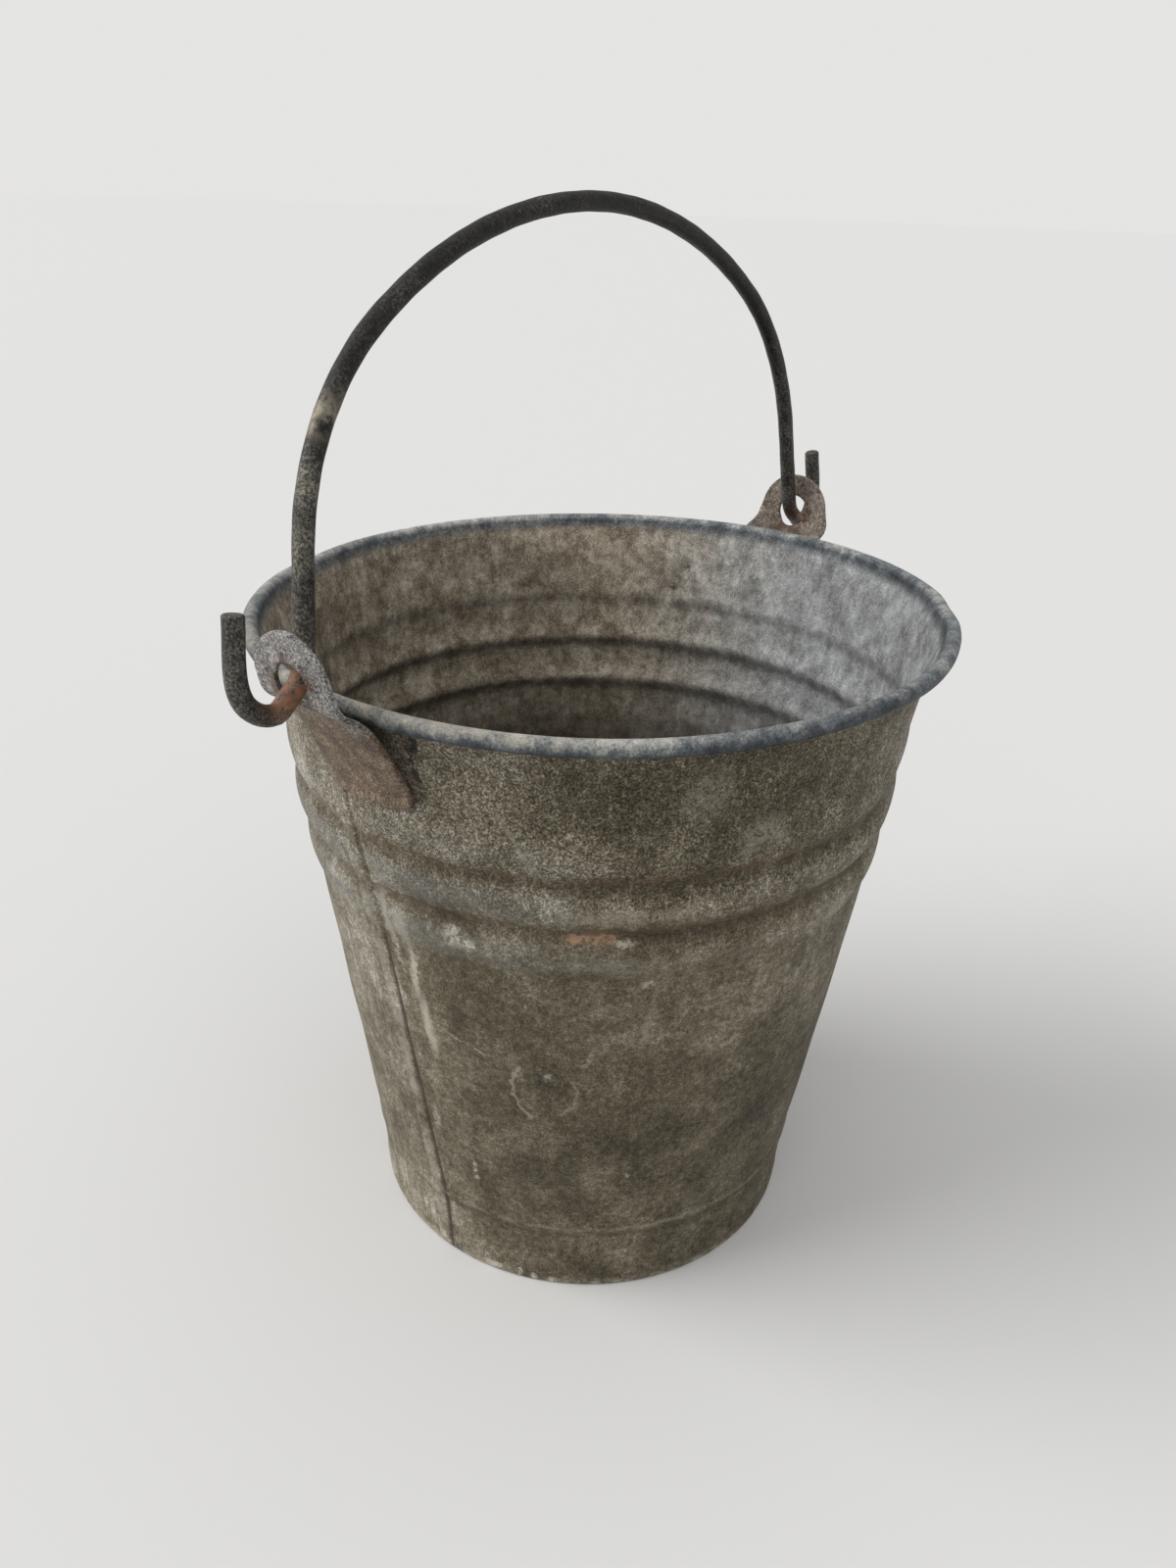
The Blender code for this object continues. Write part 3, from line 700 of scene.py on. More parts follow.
@dataclass(frozen=True)
class BlackSteel:
    """The bail's blackened steel, rubbed pale on its legs and rusty in its hooks."""

    name: str = "black_steel"
    hinge_height: float = 247.9 * MM
    hinge_radius: float = 136.5 * MM

    def material(self) -> bpy.types.Material:
        """Return the finish as a material."""
        graph = Graph(self.name)
        place = graph.place()
        x, _, height = graph.split(place)
        speck = graph.noise(place, 1200.0, 5.0, 0.85)
        wear = graph.noise(place, 60.0, 5.0, 0.65)
        legs = graph.spread(height, 345 * MM, 285 * MM)
        tone = graph.add(
            graph.times(graph.spread(speck, 0.34, 0.66), 0.36),
            graph.times(wear, 0.7),
            graph.times(legs, 0.16),
            -0.17,
        )
        colour = graph.ramp(tone, (
            (0.2, srgb(18, 17, 14)),
            (0.42, srgb(40, 38, 34)),
            (0.56, srgb(70, 69, 65)),
            (0.7, srgb(116, 110, 99)),
            (0.9, srgb(176, 166, 148)),
        ))
        side = graph.calc("SUBTRACT", graph.calc("ABSOLUTE", x), self.hinge_radius + 4 * MM)
        drop = graph.calc("SUBTRACT", height, self.hinge_height + 1 * MM)
        away = graph.reach(side, drop)
        ragged = graph.spread(graph.noise(place, 170.0, 4.0, 0.7), 0.34, 0.6)
        rust = graph.times(graph.spread(away, 4 * MM, 12 * MM, 1.0, 0.0), ragged)
        colour = graph.blend(graph.times(rust, 0.9), colour, srgb(126, 82, 52))
        paint = graph.band(height, 313 * MM, 8 * MM)
        left = graph.spread(x, -0.100, -0.110)
        colour = graph.blend(graph.times(paint, left, ragged, 0.6), colour, srgb(168, 158, 138))
        relief = graph.add(graph.times(speck, 0.5), graph.times(wear, 0.5))
        metallic = graph.spread(rust, 0.0, 0.6, 0.6, 0.1)
        return graph.finish(colour, metallic, graph.spread(wear, 0.3, 0.7, 0.38, 0.6), relief, 0.4 * MM)


@dataclass(frozen=True)
class PaleGround:
    """A plain pale matt surface."""

    name: str = "pale_ground"
    colour: Colour = (0.58, 0.575, 0.56)

    def material(self) -> bpy.types.Material:
        """Return the finish as a material."""
        graph = Graph(self.name)
        graph.feed(graph.shader.inputs["Base Color"], self.colour)
        graph.shader.inputs["Roughness"].default_value = 0.9
        return graph.material


def new_object(name: str, mesh: bpy.types.Mesh, *materials: bpy.types.Material) -> bpy.types.Object:
    """Return a smooth-shaded object in the scene.

    Args:
        name: The object's name.
        mesh: Its mesh, in the bucket's own frame.
        materials: Its materials.

    Returns:
        The object.
    """
    for material in materials:
        mesh.materials.append(material)
    mesh.shade_smooth()
    item = bpy.data.objects.new(name, mesh)
    bpy.context.scene.collection.objects.link(item)
    return item


def grid_mesh(name: str, points: np.ndarray, closed_rows: bool = True,
              closed_columns: bool = True) -> bpy.types.Mesh:
    """Return a mesh of quads between rows of points.

    Args:
        name: The mesh's name.
        points: An array of rows, columns and three coordinates.
        closed_rows: Whether the last row joins the first.
        closed_columns: Whether the last column joins the first.

    Returns:
        The mesh.
    """
    rows, columns, _ = points.shape
    across = np.arange(columns if closed_columns else columns - 1)
    along = np.arange(rows if closed_rows else rows - 1)
    row, column = np.meshgrid(along, across, indexing="ij")
    next_row, next_column = (row + 1) % rows, (column + 1) % columns
    quads = np.stack([
        row * columns + column,
        next_row * columns + column,
        next_row * columns + next_column,
        row * columns + next_column,
    ], axis=-1).reshape(-1, 4)
    mesh = bpy.data.meshes.new(name)
    mesh.from_pydata(points.reshape(-1, 3).tolist(), [], quads.tolist())
    mesh.update()
    return mesh


def face_out(mesh: bpy.types.Mesh) -> None:
    """Turn every face of a closed mesh outwards."""
    work = bmesh.new()
    work.from_mesh(mesh)
    bmesh.ops.recalc_face_normals(work, faces=work.faces)
    work.to_mesh(mesh)
    work.free()


def ease(value: np.ndarray, low: float, high: float) -> np.ndarray:
    """Return 0 before one value and 1 after another, with a smooth rise between.

    Args:
        value: The values.
        low: Where the rise starts.
        high: Where it ends.

    Returns:
        The eased values.
    """
    share = np.clip((value - low) / (high - low), 0.0, 1.0)
    return share * share * (3.0 - 2.0 * share)


def turned_away(azimuth: np.ndarray, centre: float) -> np.ndarray:
    """Return signed angles from a centre, between -180 and 180."""
    return (azimuth - centre + 180.0) % 360.0 - 180.0


def offset_path(path: np.ndarray, distance: float) -> np.ndarray:
    """Return a section shifted sideways, to its left as it runs down the outer side.

    Args:
        path: Points as radius and height.
        distance: How far the section shifts.

    Returns:
        The shifted points.
    """
    run = np.gradient(path, axis=0)
    run /= np.linalg.norm(run, axis=1, keepdims=True)
    return path + distance * np.stack([run[:, 1], -run[:, 0]], axis=1)


@dataclass(frozen=True)
class Dent:
    """A place where a knock has pushed the sheet in."""

    azimuth: float
    height: float
    depth: float
    half_width: float
    half_height: float


@dataclass(frozen=True)
class Unevenness:
    """Slow random waves that close on themselves around the bucket."""

    depth: float
    seed: int
    count: int = 14
    most_turns: int = 9
    shortest: float = 45 * MM

    def at(self, azimuth: np.ndarray, height: np.ndarray) -> np.ndarray:
        """Return the waves' radial shift.

        Args:
            azimuth: Angles about Z.
            height: Heights above the floor.

        Returns:
            The shift at each point.
        """
        chance = np.random.default_rng(self.seed)
        total = np.zeros(np.broadcast(azimuth, height).shape)
        for _ in range(self.count):
            turns = chance.integers(1, self.most_turns)
            rise = chance.uniform(-1.0, 1.0) * math.tau / self.shortest
            phase = chance.uniform(0.0, math.tau)
            total += np.cos(turns * np.radians(azimuth) + rise * height + phase)
        return total * self.depth / math.sqrt(self.count)


@dataclass(frozen=True)
class WornForm:
    """How use has bent the whole body out of true."""

    oval: tuple[float, float, float] = (2.96 * MM, 2, 7.6)
    three_corner: tuple[float, float, float] = (1.69 * MM, 3, -47.5)
    lift_wave: tuple[float, float, float] = (1.02 * MM, 2, -11.7)
    crease_height: float = 30.0 * MM
    rim_height: float = 238.4 * MM
    power: float = 1.5
    dents: tuple[Dent, ...] = (
        Dent(-52.8, 236.0 * MM, 1.1 * MM, 4.5, 16.0 * MM),
        Dent(-71.0, 190.0 * MM, 1.4 * MM, 13.0, 45.0 * MM),
        Dent(106.0, 232.0 * MM, 1.0 * MM, 8.0, 30.0 * MM),
    )

    def share(self, height: np.ndarray) -> np.ndarray:
        """Return how much of the rim's bending reaches a height."""
        span = self.rim_height - self.crease_height
        return np.clip((height - self.crease_height) / span, 0.0, None) ** self.power

    def wave(self, size_turns_phase: tuple[float, float, float], azimuth: np.ndarray) -> np.ndarray:
        """Return one wave around the rim.

        Args:
            size_turns_phase: The wave's size, its count of turns and where it peaks.
            azimuth: Angles about Z.

        Returns:
            The wave at each angle.
        """
        size, turns, phase = size_turns_phase
        return size * np.cos(np.radians(turns * (azimuth - phase)))

    def push(self, azimuth: np.ndarray, height: np.ndarray) -> np.ndarray:
        """Return the radial shift of the worn body.

        Args:
            azimuth: Angles about Z.
            height: Heights above the floor.

        Returns:
            The shift at each point.
        """
        waves = self.wave(self.oval, azimuth) + self.wave(self.three_corner, azimuth)
        total = waves * self.share(height)
        for dent in self.dents:
            across = turned_away(azimuth, dent.azimuth) / dent.half_width
            along = (height - dent.height) / dent.half_height
            total = total - dent.depth * np.exp(-across * across - along * along)
        return total

    def lift(self, azimuth: np.ndarray, height: np.ndarray) -> np.ndarray:
        """Return how far the worn body is raised.

        Args:
            azimuth: Angles about Z.
            height: Heights above the floor.

        Returns:
            The rise at each point.
        """
        return self.wave(self.lift_wave, azimuth) * self.share(height)


@dataclass(frozen=True)
class Body:
    """The sizes of the turned body that its pieces share."""

    sheet: float = 0.75 * MM
    gap: float = 0.3 * MM
    rim_radius: float = 120.0 * MM
    rim_height: float = 238.4 * MM
    wall_top_radius: float = 115.7 * MM
    crease_radius: float = 85.6 * MM
    crease_height: float = 30.0 * MM
    foot_radius: float = 83.0 * MM
    flare_depth: float = 18.0 * MM
    roll_inner_radius: float = 1.9 * MM
    worn: WornForm = WornForm()

    @property
    def bead_radius(self) -> float:
        """The rolled rim's outer section radius."""
        return self.roll_inner_radius + self.sheet

    def cone(self, height: np.ndarray | float) -> np.ndarray | float:
        """Return the plain taper's outer radius at a height."""
        share = (height - self.crease_height) / (self.rim_height - self.crease_height)
        return self.crease_radius + (self.wall_top_radius - self.crease_radius) * share

    def flare(self, depth: np.ndarray | float) -> np.ndarray | float:
        """Return how far the wall opens towards the roll at a depth under the rim."""
        reach = self.rim_radius - self.roll_inner_radius - self.wall_top_radius
        return reach * np.clip(1.0 - depth / self.flare_depth, 0.0, 1.0) ** 2


@dataclass(frozen=True)
class Bands:
    """The swaged bands that stiffen the wall."""

    first_depth: float = 30.5 * MM
    pitch: float = 18.3 * MM
    heights: tuple[float, float, float] = (0.9 * MM, 2.1 * MM, 1.9 * MM)
    groove_depth: float = 0.9 * MM
    groove_spread: float = 0.16

    def relief(self, depth: np.ndarray) -> np.ndarray:
        """Return how far the bands stand proud of the taper at a depth under the rim."""
        place = (depth - self.first_depth) / self.pitch
        total = np.zeros_like(place)
        for index, height in enumerate(self.heights):
            inside = np.clip(place - index, 0.0, 1.0)
            total += height * np.sin(math.pi * inside) ** 1.25
        for edge in range(1, len(self.heights)):
            total -= self.groove_depth * np.exp(-((place - edge) / self.groove_spread) ** 2)
        return total


@dataclass(frozen=True)
class Seam:
    """The folded side seam, which leans a little from foot to rim."""

    width: float = 6.0 * MM
    height: float = 0.9 * MM
    edge: float = 0.9 * MM
    inner_share: float = 0.25
    levels: tuple[float, ...] = (0.0, 37 * MM, 98 * MM, 157 * MM, 189 * MM, 240 * MM)
    azimuths: tuple[float, ...] = (178.6, 178.0, 176.6, 175.6, 174.0, 173.4)
    top_depth: float = 6.0 * MM
    flattened: float = 9.0 * MM

    def away(self, azimuth: np.ndarray, height: np.ndarray, radius: np.ndarray) -> np.ndarray:
        """Return how far points lie from the seam's middle, around the bucket.

        Args:
            azimuth: Angles about Z.
            height: Heights above the floor.
            radius: The wall's radius at each point.

        Returns:
            The signed distances.
        """
        middle = np.interp(height, self.levels, self.azimuths)
        return np.radians(turned_away(azimuth, middle)) * radius

    def ridge(self, away: np.ndarray) -> np.ndarray:
        """Return the fold's height over the sheet at a distance from its middle."""
        half = self.width / 2
        fold = 1.0 - ease(np.abs(away), half - self.edge, half + self.edge / 2)
        step = 1.0 - 0.25 * ease(away, -half, half)
        return self.height * fold * step


@dataclass
class Wall:
    """The sheet wall: rolled rim, bands, seam, crease, foot and hem in one piece."""

    body: Body
    bands: Bands = Bands()
    seam: Seam = Seam()
    turn_step: float = 1.0
    seam_step: float = 0.25
    seam_reach: float = 6.0
    height_step: float = 4.2 * MM
    band_step: float = 1.65 * MM
    roll_end: float = -125.0
    roll_steps: int = 15
    crease_ridge: float = 0.7 * MM
    crease_width: float = 1.7 * MM
    hem_height: float = 7.0 * MM
    hem_corner: float = 0.9 * MM
    hem_swell: float = 0.35 * MM
    notch_depth: float = 0.9 * MM
    notch_side: float = 5.0 * MM
    notch_width: float = 3.0 * MM
    calm_share: float = 0.7
    uneven: Unevenness = Unevenness(0.22 * MM, 7)

    def azimuths(self) -> np.ndarray:
        """Return the angles of the mesh's columns, closer together at the seam."""
        close = np.arange(-self.seam_reach, self.seam_reach, self.seam_step)
        rest = np.arange(self.seam_reach, 360.0 - self.seam_reach, self.turn_step)
        return np.concatenate([close, rest]) + self.seam.azimuths[2]

    def outer_path(self) -> tuple[np.ndarray, int]:
        """Return the roll's inner face and the wall's outer face, and where the wall starts."""
        body = self.body
        angles = np.radians(np.linspace(self.roll_end, 180.0, self.roll_steps))
        roll = np.stack([
            body.rim_radius + body.roll_inner_radius * np.cos(angles),
            body.rim_height + body.roll_inner_radius * np.sin(angles),
        ], axis=1)
        bands_top = body.rim_height - self.bands.first_depth + self.height_step
        bands_end = bands_top - self.bands.pitch * len(self.bands.heights) - 2 * self.height_step
        levels = np.concatenate([
            np.linspace(body.rim_height - 1.5 * MM, bands_top, 10, endpoint=False),
            np.arange(bands_top, bands_end, -self.band_step),
            np.arange(bands_end, body.crease_height, -self.height_step),
        ])
        crease = body.crease_height + self.crease_width * np.linspace(1.6, -2.2, 12)
        levels = np.concatenate([levels[levels > crease[0] + self.height_step / 2], crease])
        lowest = np.arange(crease[-1] - self.height_step, self.hem_corner, -self.height_step)
        levels = np.concatenate([levels, lowest, [self.hem_corner]])
        side = np.stack([self.plain_radius(levels), levels], axis=1)
        corner = self.hem_corner
        foot = body.foot_radius + self.hem_swell
        inner = body.foot_radius - 2 * body.sheet - (body.sheet + 2 * body.gap)
        hem = np.array([
            (foot - corner * 0.3, corner * 0.3),
            (foot - corner, 0.0),
            (inner + corner, 0.0),
            (inner + corner * 0.3, corner * 0.3),
            (inner, corner),
            (inner, self.hem_height / 2),
            (inner, self.hem_height),
        ])
        return np.concatenate([roll, side, hem]), len(roll)

    def plain_radius(self, height: np.ndarray) -> np.ndarray:
        """Return the wall's outer radius without its bands."""
        body = self.body
        cone = body.cone(height) + body.flare(body.rim_height - height)
        share = np.clip(height / body.crease_height, 0.0, 1.0)
        below = body.foot_radius + (body.crease_radius - 0.3 * MM - body.foot_radius) * share
        blend = ease(height, body.crease_height - self.crease_width, body.crease_height + self.crease_width)
        ridge = self.crease_ridge * np.exp(-((height - body.crease_height) / self.crease_width) ** 2)
        hem = self.hem_swell * (1.0 - ease(height, self.hem_height - 1.2 * MM, self.hem_height + 0.6 * MM))
        return below + (cone - below) * blend + ridge + hem

    def build(self) -> bpy.types.Object:
        """Build the wall and store its zones for the finish.

        Returns:
            The wall.
        """
        body = self.body
        outer, wall_start = self.outer_path()
        inner = offset_path(outer, body.sheet)
        azimuth = self.azimuths()[:, None]
        loop = np.concatenate([outer, inner[::-1]])
        is_outer = np.concatenate([np.ones(len(outer)), np.zeros(len(inner))])
        on_wall = np.arange(len(outer)) >= wall_start
        on_wall = np.concatenate([on_wall, on_wall[::-1]])
        radius, height = loop[:, 0][None, :], loop[:, 1][None, :]
        depth = body.rim_height - height
        away = self.seam.away(azimuth, height, radius)
        calm = 1.0 - self.calm_share * np.exp(-(away / self.seam.flattened) ** 2)
        relief = self.bands.relief(depth) * on_wall
        beside_seam = np.exp(-((away - self.notch_side) / self.notch_width) ** 2)
        notches = self.notch_depth * beside_seam * (relief > 1.0 * MM)
        reach = ease(depth, self.seam.top_depth, self.seam.top_depth + 3 * MM) * on_wall
        ridge_share = np.where(is_outer > 0.5, 1.0, self.seam.inner_share) * reach
        ridge_share = ridge_share * ease(height, 1.0 * MM, 3.0 * MM)
        shift = (
            relief * calm - notches
            + self.seam.ridge(away) * ridge_share
            + body.worn.push(azimuth, height)
            + self.uneven.at(azimuth, height) * ease(height, 8 * MM, 60 * MM)
        )
        ring = radius + shift
        turn = np.radians(azimuth)
        points = np.stack([
            ring * np.cos(turn),
            ring * np.sin(turn),
            height + body.worn.lift(azimuth, height),
        ], axis=-1)
        mesh = grid_mesh("wall_sheet", points)
        self.store_zones(mesh, loop, is_outer, on_wall, relief * calm)
        self.store_seam(mesh, away)
        face_out(mesh)
        item = new_object("wall_sheet", mesh, WeatheredZinc().material())
        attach(item, "bucket")
        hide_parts("wall")
        return item

    def store_zones(self, mesh: bpy.types.Mesh, loop: np.ndarray, is_outer: np.ndarray,
                    on_wall: np.ndarray, relief: np.ndarray) -> None:
        """Store at each point how much it is inside, on the bead, and proud.

        Args:
            mesh: The wall's mesh.
            loop: The section's points.
            is_outer: Which of them are on the outer face.
            on_wall: Which of them are below the roll.
            relief: The bands' relief at every point of the mesh.
        """
        depth = self.body.rim_height - loop[:, 1]
        on_roll = ~on_wall
        bead = np.where(on_roll, 1.0, (1.0 - ease(depth, 0.0, 4 * MM)) * (1.0 - is_outer))
        inside = np.where(on_roll, 0.0, 1.0 - is_outer)
        zones = np.zeros((*relief.shape, 3))
        zones[..., 0] = inside[None, :]
        zones[..., 1] = bead[None, :]
        zones[..., 2] = np.clip(relief / max(self.bands.heights), -1.0, 1.0)
        rise = (loop[:, 1] - self.body.rim_height) / self.body.bead_radius
        zones[:, on_roll, 2] = np.clip(rise[on_roll], -1.0, 1.0)[None, :]
        layer = mesh.attributes.new("zone", "FLOAT_VECTOR", "POINT")
        layer.data.foreach_set("vector", zones.reshape(-1).astype(np.float32))

    def store_seam(self, mesh: bpy.types.Mesh, away: np.ndarray) -> None:
        """Store at each point how far it lies from the seam, in centimetres.

        Args:
            mesh: The wall's mesh.
            away: The distance at every point of the mesh, in metres.
        """
        distances = np.zeros((*away.shape, 3))
        distances[..., 0] = np.clip(away / (10 * MM), -2.0, 2.0)
        layer = mesh.attributes.new("seam", "FLOAT_VECTOR", "POINT")
        layer.data.foreach_set("vector", distances.reshape(-1).astype(np.float32))


@dataclass
class Bottom:
    """The pressed bottom, slightly sagged and hammered."""

    body: Body
    height: float = 27.0 * MM
    corner: float = 3.5 * MM
    hem_height: float = 7.0 * MM
    sag: float = 0.9 * MM
    turn_step: float = 2.0
    uneven: Unevenness = Unevenness(0.25 * MM, 21)

    def section(self) -> np.ndarray:
        """Return the bottom's upper and outer face, from the middle to the flange's edge."""
        body = self.body
        inset = body.sheet + body.gap
        side = body.crease_radius - 0.9 * MM - inset
        reach = side - self.corner
        flat = [(reach * share, self.height) for share in np.linspace(0.001, 1.0, 26)[:-1]]
        turn = [
            (reach + self.corner * math.sin(angle), self.height - self.corner * (1.0 - math.cos(angle)))
            for angle in np.radians(np.linspace(0.0, 90.0, 8))
        ]
        low = body.foot_radius - inset
        flange = [(low + 0.6 * MM, self.hem_height), (low, self.hem_height * 0.7), (low, inset)]
        return np.array(flat + turn + flange)

    def build(self) -> bpy.types.Object:
        """Build the bottom.

        Returns:
            The bottom.
        """
        outer = self.section()
        inner = offset_path(outer, self.body.sheet)
        inner[:, 0] = np.maximum(inner[:, 0], 0.02 * MM)
        loop = np.concatenate([outer, inner[::-1]])
        azimuth = np.arange(0.0, 360.0, self.turn_step)[:, None]
        radius, height = loop[:, 0][None, :], loop[:, 1][None, :]
        middle = 1.0 - np.clip(radius / (self.body.foot_radius * 0.9), 0.0, 1.0) ** 2
        drop = (self.sag + self.uneven.at(azimuth, radius)) * middle
        turn = np.radians(azimuth)
        points = np.stack([
            radius * np.cos(turn),
            radius * np.sin(turn),
            height - drop,
        ], axis=-1)
        mesh = grid_mesh("bottom_dish", points)
        face_out(mesh)
        item = new_object("bottom_dish", mesh, StainedZinc().material())
        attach(item, "bucket")
        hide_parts("bottom")
        return item


def arc(centre: Point, radius: float, start: float, stop: float, step: float) -> list[Point]:
    """Return points on an arc, both ends included.

    Args:
        centre: The arc's centre.
        radius: Its radius.
        start: Its first angle.
        stop: Its last angle.
        step: The widest angle between two points.

    Returns:
        The points.
    """
    count = max(2, math.ceil(abs(stop - start) / step))
    angles = np.radians(np.linspace(start, stop, count + 1))
    return [(centre[0] + radius * math.cos(a), centre[1] + radius * math.sin(a)) for a in angles]


def smooth_line(points: Sequence[Point], steps: int = 24) -> np.ndarray:
    """Return dense points on a smooth curve through the given points.

    Args:
        points: The points to pass through.
        steps: How many points each span gets.

    Returns:
        The dense points.
    """
    ends = [points[0], *points, points[-1]]
    dense = []
    for index in range(len(points) - 1):
        a, b, c, d = (np.array(point) for point in ends[index:index + 4])
        for t in np.linspace(0.0, 1.0, steps, endpoint=False):
            curve = 2 * b + (c - a) * t + (2 * a - 5 * b + 4 * c - d) * t ** 2
            dense.append(0.5 * (curve + (3 * b - a - 3 * c + d) * t ** 3))
    dense.append(np.array(points[-1]))
    return np.array(dense)


@dataclass
class Ear:
    """A pressed ear: its tab on the wall, its joggle over the rim and its holed lobe."""

    name: str
    node: str
    azimuth: float
    seat: float
    skew: float
    slim: float
    finish: EarZinc
    body: Body
    hinge_radius: float = 136.5 * MM
    hinge_height: float = 247.9 * MM
    thickness: float = 1.6 * MM
    round_over: float = 0.5 * MM
    lobe_radius: float = 14.8 * MM
    hole_radius: float = 6.3 * MM
    lobe_lean: float = 5.0
    tab_half_width: float = 16.4 * MM
    rim_half_width: float = 17.8 * MM
    tab_corner: float = 7.0 * MM
    tab_drop: float = 30.0 * MM
    tab_seat: float = 8.0 * MM
    tab_spring: float = 0.6 * MM
    blank_margin: float = 2.0 * MM
    standoff: float = 1.2 * MM
    neck_rise: float = 4.0 * MM
    neck_setback: float = 1.8 * MM
    slice_step: float = 1.3 * MM
    arc_step: float = 6.0
    uneven: float = 0.16 * MM

    def section(self) -> np.ndarray:
        """Return the plate's middle line as radius and height, from the tab's end up."""
        body = self.body
        half = self.thickness / 2
        lean = math.tan(math.radians(self.lobe_lean))
        above = self.lobe_radius + self.blank_margin
        foot = body.rim_height - self.tab_drop - self.blank_margin
        leave = body.rim_height - self.tab_drop + self.tab_seat
        levels = (foot, leave, body.rim_height)
        push = [float(body.worn.push(np.array(self.azimuth), np.array(level))) for level in levels]
        on_wall = self.tab_spring + self.seat + half
        rim = body.rim_radius + push[2] + body.bead_radius + self.standoff + half
        return smooth_line((
            (body.cone(foot) + push[0] + on_wall, foot),
            (body.cone(leave) + push[1] + on_wall, leave),
            (rim, body.rim_height - body.bead_radius / 2),
            (self.hinge_radius - self.neck_setback, body.rim_height + self.neck_rise),
            (self.hinge_radius, self.hinge_height),
            (self.hinge_radius + above * lean, self.hinge_height + above),
        ))

    def outline(self) -> list[Point]:
        """Return the ear's outline as across and height, anticlockwise."""
        low = self.body.rim_height - self.tab_drop + self.tab_corner
        side = self.tab_half_width - self.tab_corner
        under_rim = self.body.rim_height - self.body.bead_radius
        right = arc((side, low), self.tab_corner, -90.0, 0.0, self.arc_step)
        lobe = arc((0.0, self.hinge_height), self.lobe_radius, 8.0, 172.0, self.arc_step)
        left = [(-across, height) for across, height in reversed(right)]
        neck_right = smooth_line((right[-1], (self.rim_half_width, under_rim), lobe[0]), 6)
        neck_left = smooth_line((lobe[-1], (self.slim - self.rim_half_width, under_rim), left[0]), 6)
        neck_up, neck_down = ([tuple(p) for p in neck[1:-1]] for neck in (neck_right, neck_left))
        return right + neck_up + lobe + neck_down + left

    def blank(self) -> bpy.types.Mesh:
        """Return the flat plate with its hole and rounded edges, in its own X and Y."""
        curve = bpy.data.curves.new(self.name + "_blank", "CURVE")
        curve.dimensions = "2D"
        curve.fill_mode = "BOTH"
        curve.extrude = self.thickness / 2 - self.round_over
        curve.bevel_depth = self.round_over
        curve.bevel_resolution = 2
        curve.offset = -self.round_over
        hole_step = self.arc_step * 2
        hole = arc((0.0, self.hinge_height), self.hole_radius, 0.0, 360.0 - hole_step, hole_step)
        for points in (self.outline(), hole):
            spline = curve.splines.new("POLY")
            spline.points.add(len(points) - 1)
            for slot, (across, up) in zip(spline.points, points):
                slot.co = (across, up, 0.0, 1.0)
            spline.use_cyclic_u = True
        item = bpy.data.objects.new(curve.name, curve)
        bpy.context.scene.collection.objects.link(item)
        graph = bpy.context.evaluated_depsgraph_get()
        graph.update()
        mesh = bpy.data.meshes.new_from_object(item.evaluated_get(graph))
        bpy.data.objects.remove(item, do_unlink=True)
        return mesh

    def slice(self, mesh: bpy.types.Mesh) -> None:
        """Cut the flat plate into small cells, so that it can bend."""
        work = bmesh.new()
        work.from_mesh(mesh)
        bmesh.ops.remove_doubles(work, verts=work.verts, dist=0.01 * MM)
        for axis in (0, 1):
            normal = Vector((1.0, 0.0, 0.0) if axis == 0 else (0.0, 1.0, 0.0))
            places = [vertex.co[axis] for vertex in work.verts]
            for level in np.arange(min(places) + self.slice_step / 2, max(places), self.slice_step):
                geometry = work.verts[:] + work.edges[:] + work.faces[:]
                bmesh.ops.bisect_plane(work, geom=geometry, plane_co=normal * level,
                                       plane_no=normal, dist=1e-6)
        bmesh.ops.triangulate(work, faces=[face for face in work.faces if len(face.verts) > 4])
        work.to_mesh(mesh)
        work.free()

    def bend(self, mesh: bpy.types.Mesh) -> None:
        """Press the flat plate onto its section and round the wall.

        Args:
            mesh: The plate, whose X is across, Y is up and Z is through it.
        """
        body = self.body
        line = self.section()
        slope = np.gradient(line[:, 0], line[:, 1])
        co = np.empty(len(mesh.vertices) * 3, np.float32)
        mesh.vertices.foreach_get("co", co)
        across, height, through = (co.reshape(-1, 3)[:, i].astype(float) for i in range(3))
        top = self.hinge_height - self.hole_radius
        slide = np.clip(top - height, 0.0, None) / (top - body.rim_height + self.tab_drop)
        across = across + self.skew * slide
        middle = np.interp(height, line[:, 1], line[:, 0])
        tilt = np.interp(height, line[:, 1], slope)
        length = np.sqrt(1.0 + tilt * tilt)
        waves = np.sin(across / (5.1 * MM) + 1.3) * np.cos(height / (6.3 * MM) + self.azimuth)
        outward = middle + through / length + self.uneven * waves
        upward = height - through * tilt / length
        level = np.minimum(height, body.rim_height)
        share = np.clip((top - height) / (top - body.rim_height + body.bead_radius), 0.0, 1.0)
        radius = body.cone(level) + body.flare(body.rim_height - level)
        local = np.arcsin(across / radius)
        bent = body.worn.push(self.azimuth + np.degrees(local), level)
        straight = body.worn.push(np.full_like(level, self.azimuth), level)
        outward = outward + ((radius + bent - straight) * np.cos(local) - radius) * share
        turn = math.radians(self.azimuth)
        points = np.stack([
            outward * math.cos(turn) - across * math.sin(turn),
            outward * math.sin(turn) + across * math.cos(turn),
            upward,
        ], axis=1)
        mesh.vertices.foreach_set("co", points.reshape(-1).astype(np.float32))
        mesh.update()

    def build(self) -> bpy.types.Object:
        """Build the ear.

        Returns:
            The ear.
        """
        mesh = self.blank()
        self.slice(mesh)
        self.bend(mesh)
        face_out(mesh)
        mesh.materials.clear()
        item = new_object(self.name, mesh, self.finish.material())
        mesh.set_sharp_from_angle(angle=math.radians(50.0))
        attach(item, "bucket")
        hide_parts(self.node)
        return item


